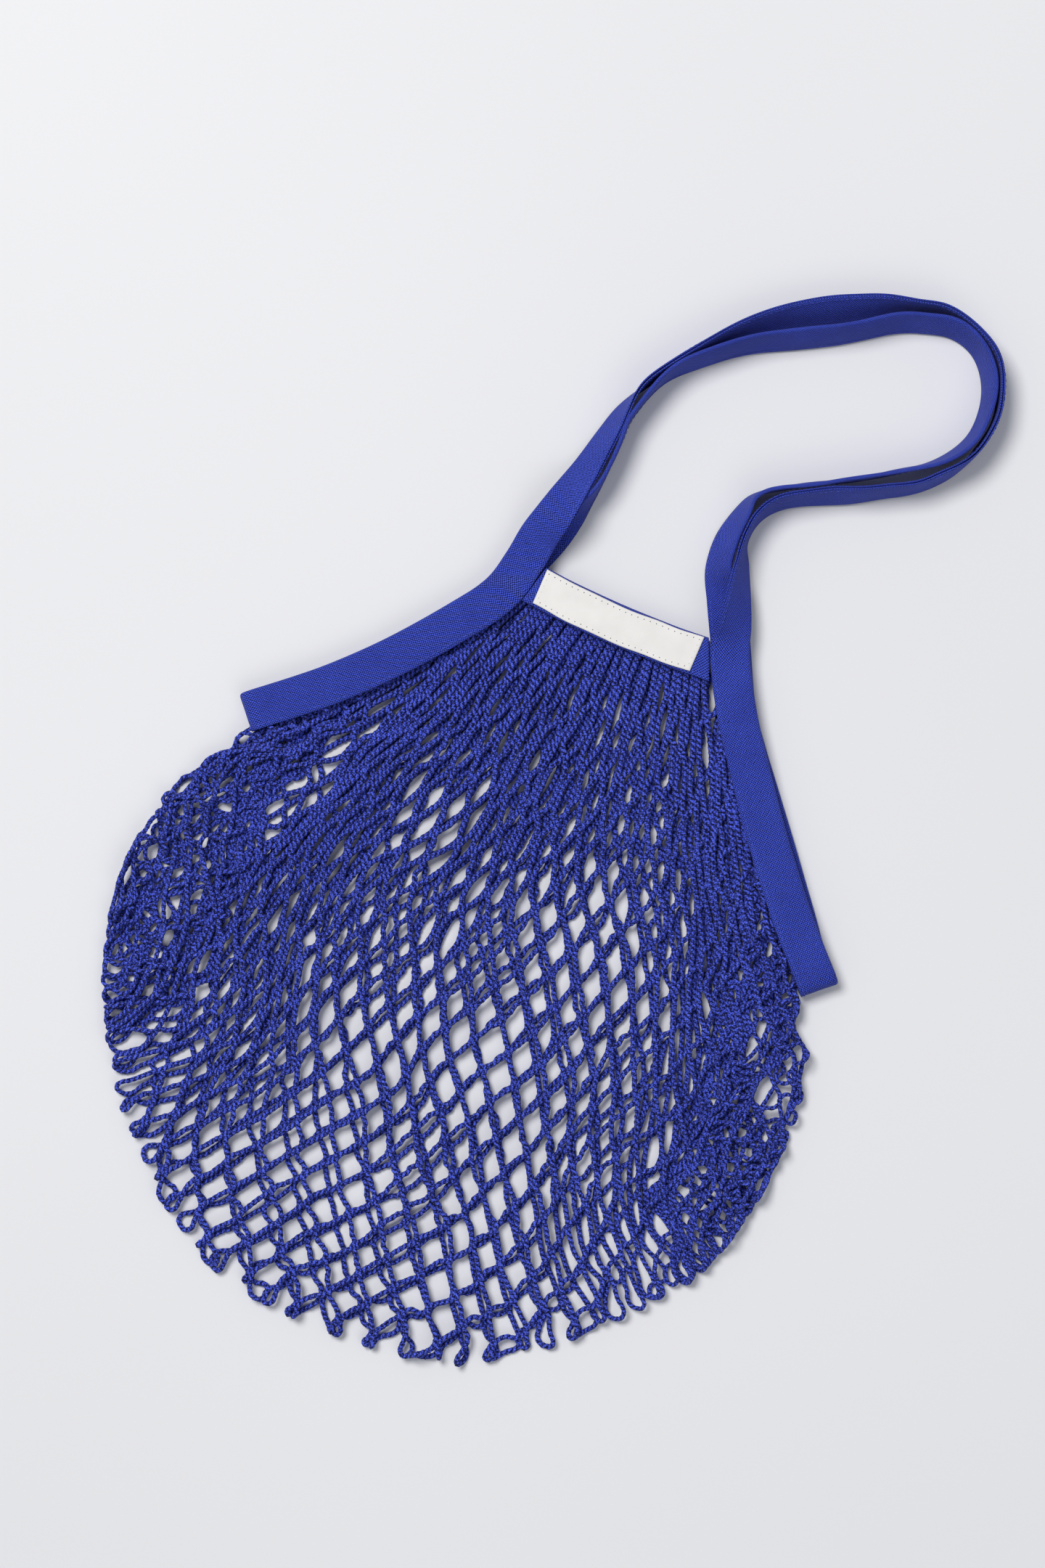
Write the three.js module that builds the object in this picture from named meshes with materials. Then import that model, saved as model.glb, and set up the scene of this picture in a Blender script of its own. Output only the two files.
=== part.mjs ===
// A knitted net shopping bag with a canvas mouth and two shoulder straps, lying flat on its back.
// Millimetres. X runs along the mouth, Y from the bottom of the bag to the straps, Z up from the surface.
// The origin is under the middle of the mouth, where the back band lies on the surface.
import * as THREE from "three";

// Canvas of the mouth and the straps
const CANVAS = 1.0; // thickness of one layer
const TAPE_WIDTH = 22; // width of the tape once it is folded
const FIT = 0.3; // clearance between neighbouring pieces
const END_GAP = 0.45; // gap between the two tapes at the corners of the mouth
const STRAP_THICKNESS = 2 * CANVAS + FIT;
const STRAP_GROOVE_DEPTH = 2; // how far the fold's two edges stay apart along a strap

// Net
const CORD = 2.4; // thickness of a knitted cord as it lies
const SELVEDGE = 1.2; // thickness of the net where the canvas grips it
const SELVEDGE_DEPTH = 11; // how far the net reaches into the canvas
const SLOT_DEPTH = SELVEDGE_DEPTH + 3; // room inside the fold of the canvas
const SELVEDGE_STEP = 1.5; // bare selvedge between the canvas and the first cords

// Levels of the two layers, from the surface up
const BINDING = 2 * CANVAS + SELVEDGE + 2 * FIT; // thickness of canvas, net and canvas
const MOUTH_GAP = 6.4; // clear height between the back and the front of the mouth
const BACK_LEVEL = BINDING / 2;
const FRONT_LEVEL = BINDING + MOUTH_GAP + BINDING / 2;
const FRONT_UNDERSIDE = BINDING + MOUTH_GAP; // underside of the front layer of net
const RIM_TOP = 8.6; // top of the net's edge, where front turns into back

// Knitted lattice: half columns across a layer and half rows from mouth to bottom
const COLUMNS = 24;
const ROWS = 16;
const KNOT_WIDTH = 11; // where two neighbouring strands run side by side
const KNOT_LENGTH = 14; // how long they run together
const STRAND_WIDTH = 8; // a strand stands for several knitted cords
const NARROWEST_GAP = 15; // tighter meshes lie closed
const CLOSED_ROWS = 4; // half rows under the mouth that are drawn tight and lie closed
const SLACK_AFTER = 1.2; // half rows from the mouth to where the net lies on its own level
const BACK_SLIDE = 1; // half rows by which the back's meshes lie lower than the front's
const SLIDE_FADE = 3; // half rows or columns over which that slide dies out towards the edges

// Most that a knot takes of a small mesh: shares of half its width or half its length
const WIDEST_KNOT = 0.42;
const LONGEST_KNOT = 0.35;
const DEEPEST_TIP = 0.6;

// Label
const LABEL_HALF_LENGTH = 47;
const LABEL_HEIGHT = 20.4;
const LABEL_THICKNESS = 1.2;
const LABEL_SAG = 2.5; // how far its middle hangs below its ends

// Sections along each piece
const STEPS_PER_ROW = 2; // tape: sections for each row of its table
const TURN_STEPS = 6; // tape: sections in its half turn at a corner of the mouth
const BAND_STEPS = 3; // band: sections for each row of its table
const LABEL_STEPS = 6;
const TANGENT_REACH = 0.02; // how far along the table, in rows, a tape's direction is taken

const BLUE_CANVAS = 0x2c3fb4;
const BLUE_CORD = 0x2436a8;
const CREAM = 0xe9e6dd;

// Turns rows of numbers into records with named columns.
function table(columns, rows) {
  return rows.map((row) => Object.fromEntries(columns.map((name, i) => [name, row[i]])));
}

// Route of the edge that a tape stands on, from the left corner of the mouth over the strap to the right one.
// z: height of that edge, roll: degrees the tape is tipped up from lying flat with its open edge towards the
// middle of the bag, bound: 1 where it grips the net. The front strap stands on its fold, the back one on its
// open edge.
const TAPE_COLUMNS = ["x", "y", "z", "roll", "bound"];
const FRONT_TAPE = {
  standsOnFold: true,
  leftJoin: 4.1, // rows of the table where the band meets the open edge
  rightJoin: 33.7,
  rows: table(TAPE_COLUMNS, [
    [-170.5, -115, FRONT_LEVEL, 0, 1],
    [-140, -88, FRONT_LEVEL, 0, 1],
    [-113, -59, FRONT_LEVEL, 0, 1],
    [-89, -28, FRONT_LEVEL, 0, 1],
    [-76, -8, FRONT_LEVEL, 0, 1],
    [-71.5, 10, FRONT_LEVEL, 0, 1],
    [-69.3, 27, 13.4, 4, 0],
    [-65.5, 41, 16.8, 16, 0],
    [-62.3, 52, 16.4, 29, 0],
    [-57, 71, 4.5, 45, 0],
    [-51.5, 92, 1.7, 58, 0],
    [-46.5, 109, 1.3, 72, 0],
    [-38.5, 124, 0.8, 90, 0],
    [-26, 141, 0.8, 98, 0],
    [-10, 158, 0.9, 107, 0],
    [10, 175, 1, 119, 0],
    [32, 191, 1, 125, 0],
    [61, 208, 1, 121, 0],
    [82, 219.5, 0.9, 107, 0],
    [99, 226.5, 0.8, 96, 0],
    [120, 223, 0.8, 92, 0],
    [138.5, 208.5, 0.8, 92, 0],
    [146.3, 185, 0.8, 92, 0],
    [143, 161, 0.8, 90, 0],
    [129, 136, 0.9, 79, 0],
    [106, 119, 1, 73, 0],
    [80, 105, 1, 72, 0],
    [60, 94, 1, 73, 0],
    [50, 82, 0.9, 79, 0],
    [48, 68, 1.2, 82, 0],
    [54, 56, 6, 68, 0],
    [62.5, 38, 12, 48, 0],
    [68.5, 25, 13, 30, 0],
    [74.5, 10, FRONT_LEVEL, 0, 1],
    [88, -13, FRONT_LEVEL, 0, 1],
    [103, -34, FRONT_LEVEL, 0, 1],
    [130, -69, FRONT_LEVEL, 0, 1],
    [160, -104, FRONT_LEVEL, 0, 1],
    [186, -130.5, FRONT_LEVEL, 0, 1],
  ]),
};
const BACK_TAPE = {
  standsOnFold: false,
  leftJoin: 4.2,
  rightJoin: 33.6,
  rows: table(TAPE_COLUMNS, [
    [-156, -131.6, BACK_LEVEL, 0, 1],
    [-124.5, -104, BACK_LEVEL, 0, 1],
    [-96, -73.5, BACK_LEVEL, 0, 1],
    [-71, -41, BACK_LEVEL, 0, 1],
    [-55.5, -15, BACK_LEVEL, 0, 1],
    [-48.5, 7, BACK_LEVEL, 0, 1],
    [-42.5, 25, 1.9, -8, 0],
    [-39.5, 40, 1.2, -44, 0],
    [-38.3, 52, 1, -76, 0],
    [-37.3, 66, 0.8, -88, 0],
    [-37, 90, 0.8, -89, 0],
    [-35.4, 106, 0.8, -87, 0],
    [-26, 128, 0.8, -78, 0],
    [-11, 143.5, 0.9, -67, 0],
    [15, 164.5, 1, -58, 0],
    [49, 187.5, 1, -56, 0],
    [76, 206, 1, -58, 0],
    [92, 213.5, 0.9, -64, 0],
    [107, 217, 0.9, -70, 0],
    [122, 213, 0.8, -75, 0],
    [132.5, 202, 0.8, -76, 0],
    [137.5, 186, 0.8, -77, 0],
    [137, 168, 0.8, -79, 0],
    [127, 151.5, 0.8, -83, 0],
    [109, 136.5, 0.8, -87, 0],
    [80, 118, 0.8, -88, 0],
    [54, 103, 0.8, -88, 0],
    [42, 94, 0.8, -84, 0],
    [36.5, 84, 0.9, -72, 0],
    [31.5, 65, 1, -57, 0],
    [33.5, 46, 1, -52, 0],
    [41, 30, 1.2, -26, 0],
    [46.5, 19, 1.9, -10, 0],
    [53.5, 6, BACK_LEVEL, 0, 1],
    [70, -25, BACK_LEVEL, 0, 1],
    [86, -46, BACK_LEVEL, 0, 1],
    [115, -80.5, BACK_LEVEL, 0, 1],
    [144, -115.5, BACK_LEVEL, 0, 1],
    [160, -135.4, BACK_LEVEL, 0, 1],
    [170.4, -146, BACK_LEVEL, 0, 1],
  ]),
};

// The folded strip across the middle of the mouth: its fold is on top and the net hangs from its open edge.
const BAND_COLUMNS = ["foldX", "foldY", "openX", "openY"];
const FRONT_BAND = table(BAND_COLUMNS, [
  [-47.8, 11, -53, -11],
  [-25, 9.2, -27, -12.8],
  [0, 8.5, 0, -13.5],
  [25, 9.2, 28, -12.8],
  [49.4, 11, 59, -11],
]);
const BACK_BAND = table(BAND_COLUMNS, [
  [-45.8, 11, -52.6, -11],
  [-25, 10, -27, -12],
  [0, 9.5, 0, -12.5],
  [25, 10, 28, -12],
  [50, 11, 59, -11],
]);

// Outline of the net below the canvas: down the left side, along the bottom and down the right side.
const OUTLINE_COLUMNS = ["x", "y"];
const LEFT_SIDE = table(OUTLINE_COLUMNS, [
  [-166, -146],
  [-184, -166],
  [-196, -205],
  [-196, -250],
  [-184, -293],
  [-165, -332],
  [-140, -363],
]);
const BOTTOM = table(OUTLINE_COLUMNS, [
  [-140, -363],
  [-107, -393],
  [-70, -416],
  [-30, -424],
  [10, -425],
  [52, -421],
  [94, -407],
  [146, -365],
]);
const RIGHT_SIDE = table(OUTLINE_COLUMNS, [
  [179, -157],
  [191, -168],
  [198, -200],
  [200, -236],
  [196, -275],
  [182, -319],
  [146, -365],
]);

// How the net shares out along the mouth
const BAND_STARTS_AT = 0.2; // share of the mouth at the band's left end
const BAND_ENDS_AT = 0.8;
const SIDE_CROWDING = 0.35; // how much closer together the meshes lie at the sides

// Heaps where slack net has slid together, each a soft ridge on the front layer.
const HEAPS = table(["fromX", "fromY", "toX", "toY", "reach", "height"], [
  [-160, -160, -165, -300, 22, 6],
  [-132, -190, -140, -300, 16, 5],
  [150, -160, 172, -300, 20, 6],
]);

const UP = new THREE.Vector3(0, 0, 1);

// Columns that never swing past the two rows they lie between.
const STEADY = new Set(["z", "roll", "bound"]);

// Smooth value of every column between two rows of a table, at a place counted in rows.
function between(rows, place) {
  const last = rows.length - 1;
  const first = Math.min(Math.max(Math.floor(place), 0), last - 1);
  const t = place - first;
  const row = (i) => rows[Math.min(Math.max(i, 0), last)];
  const blend = {};
  for (const name of Object.keys(rows[0])) {
    const [a, b, c, d] = [-1, 0, 1, 2].map((step) => row(first + step)[name]);
    const cubic = 3 * (b - c) + d - a;
    const square = 2 * a - 5 * b + 4 * c - d;
    const value = b + (t / 2) * (c - a + t * (square + t * cubic));
    blend[name] = STEADY.has(name) ? THREE.MathUtils.clamp(value, Math.min(b, c), Math.max(b, c)) : value;
  }
  return blend;
}

// Folded canvas, seen along its length: across runs from the fold to the open edge.
function foldedSection(width, thickness, slot, slotDepth) {
  const half = thickness / 2;
  const slotHalf = slot / 2;
  return [
    [0, -half / 2],
    [half, -half],
    [width, -half],
    [width, -slotHalf],
    [width - slotDepth, -slotHalf],
    [width - slotDepth, slotHalf],
    [width, slotHalf],
    [width, half],
    [half, half],
    [0, half / 2],
  ];
}

// Places a section's points: a frame has the fold's point, the way across and the way up through the canvas.
function placeSection(frame, section) {
  return section.map(([across, through]) =>
    frame.fold.clone().addScaledVector(frame.across, across).addScaledVector(frame.through, through));
}

// A closed solid through a row of sections that all have the same number of points.
function loft(sections, outline) {
  const size = sections[0].length;
  const points = sections.flat();
  const faces = [];
  for (let s = 0; s + 1 < sections.length; s++) {
    for (let i = 0; i < size; i++) {
      const j = (i + 1) % size;
      faces.push([s * size + i, s * size + j, (s + 1) * size + j, (s + 1) * size + i]);
    }
  }
  const shape = outline.map(([x, y]) => new THREE.Vector2(x, y));
  const cap = THREE.ShapeUtils.triangulateShape(shape, []);
  const end = (sections.length - 1) * size;
  for (const [a, b, c] of cap) {
    faces.push([a, c, b], [end + a, end + b, end + c]);
  }
  return solidFrom(points, faces);
}

// A geometry from points and flat faces, each face a fan of triangles, turned so that it faces out.
function solidFrom(points, faces) {
  const triangles = [];
  for (const face of faces) {
    for (let i = 1; i + 1 < face.length; i++) {
      triangles.push([face[0], face[i], face[i + 1]]);
    }
  }
  let volume = 0;
  for (const [a, b, c] of triangles) {
    volume += points[a].dot(new THREE.Vector3().crossVectors(points[b], points[c]));
  }
  const index = triangles.flatMap(([a, b, c]) => (volume > 0 ? [a, b, c] : [a, c, b]));
  const geometry = new THREE.BufferGeometry();
  geometry.setAttribute("position", new THREE.Float32BufferAttribute(points.flatMap((p) => p.toArray()), 3));
  geometry.setIndex(index);
  geometry.computeVertexNormals();
  return geometry;
}

// Frame of a tape at a place along its table, with the tape's right-hand side as the way in.
function tapeFrame({ rows, standsOnFold }, place) {
  const here = between(rows, place);
  const before = between(rows, Math.max(place - TANGENT_REACH, 0));
  const after = between(rows, Math.min(place + TANGENT_REACH, rows.length - 1));
  const along = new THREE.Vector3(after.x - before.x, after.y - before.y, after.z - before.z).normalize();
  const inward = new THREE.Vector3(along.y, -along.x, 0).normalize();
  const roll = THREE.MathUtils.degToRad(here.roll);
  const across = inward.clone().multiplyScalar(Math.cos(roll)).addScaledVector(UP, Math.sin(roll));
  const through = new THREE.Vector3().crossVectors(across, along).normalize();
  const fold = new THREE.Vector3(here.x, here.y, here.z);
  if (!standsOnFold) fold.addScaledVector(across, -TAPE_WIDTH);
  const bound = THREE.MathUtils.clamp(here.bound, 0, 1);
  return { fold, across, through, inward, along, bound };
}

// Section of the tape: thick and open where it grips the net, pressed flat along the strap.
function tapeSection(bound) {
  const mix = THREE.MathUtils.lerp;
  return foldedSection(
    TAPE_WIDTH,
    mix(STRAP_THICKNESS, BINDING, bound),
    mix(FIT, SELVEDGE + 2 * FIT, bound),
    mix(STRAP_GROOVE_DEPTH, SLOT_DEPTH, bound),
  );
}

function tapeFrames(tape) {
  const count = (tape.rows.length - 1) * STEPS_PER_ROW;
  return Array.from({ length: count + 1 }, (_, i) => tapeFrame(tape, i / STEPS_PER_ROW));
}

// The turned-under end of the front tape: half a turn about a line across it, midway between the layers.
function turnUnder(frame, outwardSign) {
  const pivot = frame.fold.clone().setZ((FRONT_LEVEL + BACK_LEVEL) / 2);
  const turned = [];
  for (let i = 1; i <= TURN_STEPS; i++) {
    const angle = (outwardSign * Math.PI * i) / TURN_STEPS;
    const swing = (v) => v.clone().applyAxisAngle(frame.across, angle);
    turned.push({
      ...frame,
      fold: pivot.clone().add(swing(frame.fold.clone().sub(pivot))),
      through: swing(frame.through),
    });
  }
  return turned;
}

function tapeSolid(frames) {
  const sections = frames.map((frame) => placeSection(frame, tapeSection(frame.bound)));
  return loft(sections, tapeSection(1));
}

function frontTape() {
  const frames = tapeFrames(FRONT_TAPE);
  const leftTurn = turnUnder(frames[0], 1).reverse();
  const rightTurn = turnUnder(frames[frames.length - 1], -1);
  return tapeSolid([...leftTurn, ...frames, ...rightTurn]);
}

// The back tape stops just short of the front tape's turned-under ends.
function backTape() {
  const frames = tapeFrames(BACK_TAPE);
  const first = frames[0];
  const last = frames[frames.length - 1];
  first.fold.addScaledVector(first.along, END_GAP);
  last.fold.addScaledVector(last.along, -END_GAP);
  return tapeSolid(frames);
}

function bandFrames(rows, level) {
  const count = (rows.length - 1) * BAND_STEPS;
  return Array.from({ length: count + 1 }, (_, i) => {
    const row = between(rows, i / BAND_STEPS);
    const fold = new THREE.Vector3(row.foldX, row.foldY, level);
    const open = new THREE.Vector3(row.openX, row.openY, level);
    const across = open.clone().sub(fold).divideScalar(TAPE_WIDTH);
    return { fold, across, through: UP };
  });
}

function bandSolid(rows, level) {
  const section = tapeSection(1);
  const sections = bandFrames(rows, level).map((frame) => placeSection(frame, section));
  return loft(sections, section);
}

// The patch lies on the front band and follows its sag.
function labelSolid() {
  const bottom = FRONT_LEVEL + BINDING / 2 + FIT;
  const section = [
    [0, 0],
    [LABEL_HEIGHT, 0],
    [LABEL_HEIGHT, LABEL_THICKNESS],
    [0, LABEL_THICKNESS],
  ];
  const sections = Array.from({ length: LABEL_STEPS + 1 }, (_, i) => {
    const x = THREE.MathUtils.lerp(-LABEL_HALF_LENGTH, LABEL_HALF_LENGTH, i / LABEL_STEPS);
    const sag = LABEL_SAG * (1 - (x / LABEL_HALF_LENGTH) ** 2);
    const fold = new THREE.Vector3(x, LABEL_HEIGHT / 2 - sag, bottom);
    return placeSection({ fold, across: new THREE.Vector3(0, -1, 0), through: UP }, section);
  });
  return loft(sections, section);
}

// Edge of the canvas at a share of the mouth, with the way into the canvas.
function mouthAt(layer, share) {
  const { tape, band } = layer;
  const last = tape.rows.length - 1;
  if (share > BAND_STARTS_AT && share < BAND_ENDS_AT) {
    const place = ((share - BAND_STARTS_AT) / (BAND_ENDS_AT - BAND_STARTS_AT)) * (band.length - 1);
    const row = between(band, place);
    return { edge: new THREE.Vector2(row.openX, row.openY), into: new THREE.Vector2(0, 1) };
  }
  const left = share <= BAND_STARTS_AT;
  const place = left
    ? (share / BAND_STARTS_AT) * tape.leftJoin
    : last - ((1 - share) / (1 - BAND_ENDS_AT)) * (last - tape.rightJoin);
  const { fold, inward } = tapeFrame(tape, place);
  return {
    edge: new THREE.Vector2(fold.x + inward.x * TAPE_WIDTH, fold.y + inward.y * TAPE_WIDTH),
    into: new THREE.Vector2(-inward.x, -inward.y),
  };
}

// Point of an outline table, led in by a first point of its own.
function outlineAt(first, rows, share) {
  const all = [...first, ...rows];
  const { x, y } = between(all, share * (all.length - 1));
  return new THREE.Vector2(x, y);
}

// Share of the mouth at a column: columns lie closer together towards the sides, where the net is slack.
function columnShare(k) {
  const even = k / COLUMNS;
  return even - (SIDE_CROWDING * Math.sin(2 * Math.PI * even)) / (2 * Math.PI);
}

// Plan of a layer: a patch stretched between the mouth, the two sides and the bottom.
function planOf(layer) {
  const mouth = (share) => {
    const { edge, into } = mouthAt(layer, share);
    return edge.clone().addScaledVector(into, -SELVEDGE_STEP);
  };
  const corner = { left: mouth(0), right: mouth(1) };
  const side = {
    left: (t) => outlineAt([{ x: corner.left.x, y: corner.left.y }], LEFT_SIDE, t),
    right: (t) => outlineAt([{ x: corner.right.x, y: corner.right.y }], RIGHT_SIDE, t),
  };
  const bottom = (share) => outlineAt([], BOTTOM, share);
  const bottomLeft = bottom(0);
  const bottomRight = bottom(1);
  return (share, t) => {
    const point = new THREE.Vector2();
    point.addScaledVector(side.left(t), 1 - share).addScaledVector(side.right(t), share);
    point.addScaledVector(mouth(share), 1 - t).addScaledVector(bottom(share), t);
    point.addScaledVector(corner.left, -(1 - share) * (1 - t));
    point.addScaledVector(corner.right, -share * (1 - t));
    point.addScaledVector(bottomLeft, -(1 - share) * t);
    point.addScaledVector(bottomRight, -share * t);
    return point;
  };
}

// The lattice of one layer, counted in half columns (k) and half rows (j): cells where both add up to an odd
// number, knots where they add up to an even one. A cell has six corners, because two strands run side by
// side at every knot. Tight cells are closed by a face of their own.
function netLattice(plan) {
  const at = (k, j) => plan(columnShare(k), j / ROWS);
  const { clamp } = THREE.MathUtils;
  const points = [];
  const addPoint = (k, j) => points.push({ k: clamp(k, 0, COLUMNS), j: clamp(j, 0, ROWS) }) - 1;
  const cells = new Map();
  const cell = (k, j) => cells.get(`${k},${j}`);
  const spots = [];
  for (let j = 0; j <= ROWS; j++) {
    for (let k = 0; k <= COLUMNS; k++) {
      spots.push({ k, j, isCell: (k + j) % 2 === 1 });
    }
  }
  for (const { k, j } of spots.filter((spot) => spot.isCell)) {
    const kInside = clamp(k, 1, COLUMNS - 1);
    const jInside = clamp(j, 1, ROWS - 1);
    const halfWidth = at(kInside - 1, j).distanceTo(at(kInside + 1, j)) / 2;
    const halfLength = at(k, jInside - 1).distanceTo(at(k, jInside + 1)) / 2;
    const side = Math.min(KNOT_WIDTH / 2 / halfWidth, WIDEST_KNOT);
    const run = Math.min(KNOT_LENGTH / 2 / halfLength, LONGEST_KNOT);
    const tip = Math.min((KNOT_LENGTH / 2 + STRAND_WIDTH) / halfLength, DEEPEST_TIP);
    const slack = k === kInside && j === jInside && j > CLOSED_ROWS;
    cells.set(`${k},${j}`, {
      top: addPoint(k, j - 1 + tip),
      bottom: addPoint(k, j + 1 - tip),
      rightUpper: addPoint(k + 1 - side, j - run),
      rightLower: addPoint(k + 1 - side, j + run),
      leftUpper: addPoint(k - 1 + side, j - run),
      leftLower: addPoint(k - 1 + side, j + run),
      open: slack && 2 * halfWidth - KNOT_WIDTH > NARROWEST_GAP,
    });
  }
  const faces = [];
  for (const { k, j, isCell } of spots) {
    if (isCell) {
      const own = cell(k, j);
      const right = cell(k + 1, j + 1);
      const left = cell(k - 1, j + 1);
      if (right) faces.push([own.rightLower, own.bottom, right.leftUpper, right.top]);
      if (left) faces.push([own.bottom, own.leftLower, left.top, left.rightUpper]);
      if (!own.open) {
        faces.push([own.top, own.leftUpper, own.leftLower, own.bottom, own.rightLower, own.rightUpper]);
      }
    } else {
      const above = cell(k, j - 1);
      const left = cell(k - 1, j);
      const below = cell(k, j + 1);
      const right = cell(k + 1, j);
      const corner = (cornerK, cornerJ) => (k === cornerK && j === cornerJ ? addPoint(k, j) : undefined);
      const ring = [
        above?.bottom,
        corner(0, 0),
        left?.rightUpper,
        left?.rightLower,
        corner(0, ROWS),
        below?.top,
        corner(COLUMNS, ROWS),
        right?.leftLower,
        right?.leftUpper,
        corner(COLUMNS, 0),
      ];
      faces.push(ring.filter((point) => point !== undefined));
    }
  }
  return { points, faces };
}

// Height of the heaps of slack net at a point of the plan.
function heapAt(point) {
  let height = 0;
  for (const heap of HEAPS) {
    const from = new THREE.Vector2(heap.fromX, heap.fromY);
    const line = new THREE.Vector2(heap.toX, heap.toY).sub(from);
    const share = THREE.MathUtils.clamp(point.clone().sub(from).dot(line) / line.lengthSq(), 0, 1);
    const distance = point.distanceTo(from.addScaledVector(line, share));
    height = Math.max(height, heap.height * Math.exp(-((distance / heap.reach) ** 2)));
  }
  return height;
}

// Half row at which a layer's point lies, once the layer has slid.
function slidRow({ slide }, k, j) {
  const { smoothstep } = THREE.MathUtils;
  const fromSide = smoothstep(Math.min(k, COLUMNS - k), 0, SLIDE_FADE);
  const fromEnd = smoothstep(Math.min(j, ROWS - j), 0, SLIDE_FADE);
  return j + slide * fromSide * fromEnd;
}

const onFold = ({ k, j }) => k === 0 || k === COLUMNS || j === ROWS;

// Top and bottom points of one layer of net. Along the fold the inner face stands a cord's thickness inside.
function layerPoints(layer, lattice) {
  const { lerp, smoothstep } = THREE.MathUtils;
  const { isFront, plan } = layer;
  const level = isFront ? FRONT_LEVEL : BACK_LEVEL;
  const underside = isFront ? FRONT_UNDERSIDE : 0;
  const top = [];
  const bottom = [];
  for (const point of lattice.points) {
    const spot = plan(columnShare(point.k), slidRow(layer, point.k, point.j) / ROWS);
    const inner = spot.clone();
    const slack = smoothstep(point.j, 0, SLACK_AFTER);
    let foot = underside;
    if (onFold(point)) {
      const kInside = THREE.MathUtils.clamp(point.k, 1, COLUMNS - 1);
      const towards = plan(columnShare(kInside), Math.min(point.j, ROWS - 1) / ROWS);
      inner.addScaledVector(towards.sub(spot).normalize(), CORD);
      foot = isFront ? RIM_TOP - CORD : 0;
    } else if (isFront) {
      foot += heapAt(spot);
    }
    const low = lerp(level - SELVEDGE / 2, foot, slack);
    const high = lerp(level + SELVEDGE / 2, foot + CORD, slack);
    const topSpot = isFront ? spot : inner;
    const bottomSpot = isFront ? inner : spot;
    top.push(new THREE.Vector3(topSpot.x, topSpot.y, high));
    bottom.push(new THREE.Vector3(bottomSpot.x, bottomSpot.y, low));
  }
  return { top, bottom };
}

// The edge of a layer that the canvas grips, for each point of the lattice on the mouth.
function selvedgePoints(layer, lattice) {
  const level = layer.isFront ? FRONT_LEVEL : BACK_LEVEL;
  const top = new Map();
  const bottom = new Map();
  lattice.points.forEach(({ k, j }, i) => {
    if (j > 0) return;
    const { edge, into } = mouthAt(layer, columnShare(k));
    const spot = edge.addScaledVector(into, SELVEDGE_DEPTH);
    top.set(i, new THREE.Vector3(spot.x, spot.y, level + SELVEDGE / 2));
    bottom.set(i, new THREE.Vector3(spot.x, spot.y, level - SELVEDGE / 2));
  });
  return { top, bottom };
}

// Edges of the lattice that belong to one face only, in the order of that face.
function rimEdges(faces) {
  const edges = faces.flatMap((face) => face.map((point, i) => [point, face[(i + 1) % face.length]]));
  const all = new Set(edges.map(([a, b]) => `${a},${b}`));
  return edges.filter(([a, b]) => !all.has(`${b},${a}`));
}

// The pouch: two layers with a top and a bottom face each, walls in every gap, the gripped edge at the mouth
// and one fold round the sides and the bottom.
function netSolid(front, back) {
  const lattice = netLattice(front.plan);
  const points = [];
  const keep = (list) => list.map((point) => points.push(point) - 1);
  const keepMap = (map) => new Map([...map].map(([i, point]) => [i, points.push(point) - 1]));
  const layers = [front, back].map((layer) => {
    const { top, bottom } = layerPoints(layer, lattice);
    const selvedge = selvedgePoints(layer, lattice);
    return {
      top: keep(top),
      bottom: keep(bottom),
      gripTop: keepMap(selvedge.top),
      gripBottom: keepMap(selvedge.bottom),
    };
  });
  const [upper, lower] = layers;
  const faces = [];
  for (const { top, bottom } of layers) {
    for (const face of lattice.faces) {
      faces.push(face.map((i) => top[i]));
      faces.push(face.map((i) => bottom[i]).reverse());
    }
  }
  for (const [i, j] of rimEdges(lattice.faces)) {
    const ends = [lattice.points[i], lattice.points[j]];
    const atMouth = ends.every((end) => end.j === 0);
    const atFold = !atMouth && ends.every(onFold);
    if (atFold) {
      faces.push([upper.top[j], upper.top[i], lower.bottom[i], lower.bottom[j]]);
      faces.push([upper.bottom[i], upper.bottom[j], lower.top[j], lower.top[i]]);
      continue;
    }
    for (const { top, bottom, gripTop, gripBottom } of layers) {
      if (atMouth) {
        faces.push([top[j], top[i], gripTop.get(i), gripTop.get(j)]);
        faces.push([bottom[i], bottom[j], gripBottom.get(j), gripBottom.get(i)]);
        faces.push([gripTop.get(j), gripTop.get(i), gripBottom.get(i), gripBottom.get(j)]);
      } else {
        faces.push([top[j], top[i], bottom[i], bottom[j]]);
      }
    }
  }
  for (const cornerK of [0, COLUMNS]) {
    const c = lattice.points.findIndex(({ k, j }) => k === cornerK && j === 0);
    const close = (face) => faces.push(cornerK === 0 ? face : face.reverse());
    for (const { top, bottom, gripTop, gripBottom } of layers) {
      close([top[c], gripTop.get(c), gripBottom.get(c), bottom[c]]);
    }
    close([lower.bottom[c], upper.top[c], upper.bottom[c], lower.top[c]]);
  }
  return solidFrom(points, faces);
}

function netBody() {
  const front = { isFront: true, slide: 0, tape: FRONT_TAPE, band: FRONT_BAND };
  const back = { isFront: false, slide: BACK_SLIDE, tape: BACK_TAPE, band: BACK_BAND };
  for (const layer of [front, back]) layer.plan = planOf(layer);
  return netSolid(front, back);
}

function piece(name, geometry, color, roughness) {
  const material = new THREE.MeshStandardMaterial({ color, roughness, metalness: 0 });
  const mesh = new THREE.Mesh(geometry, material);
  mesh.name = name;
  return mesh;
}

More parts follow.
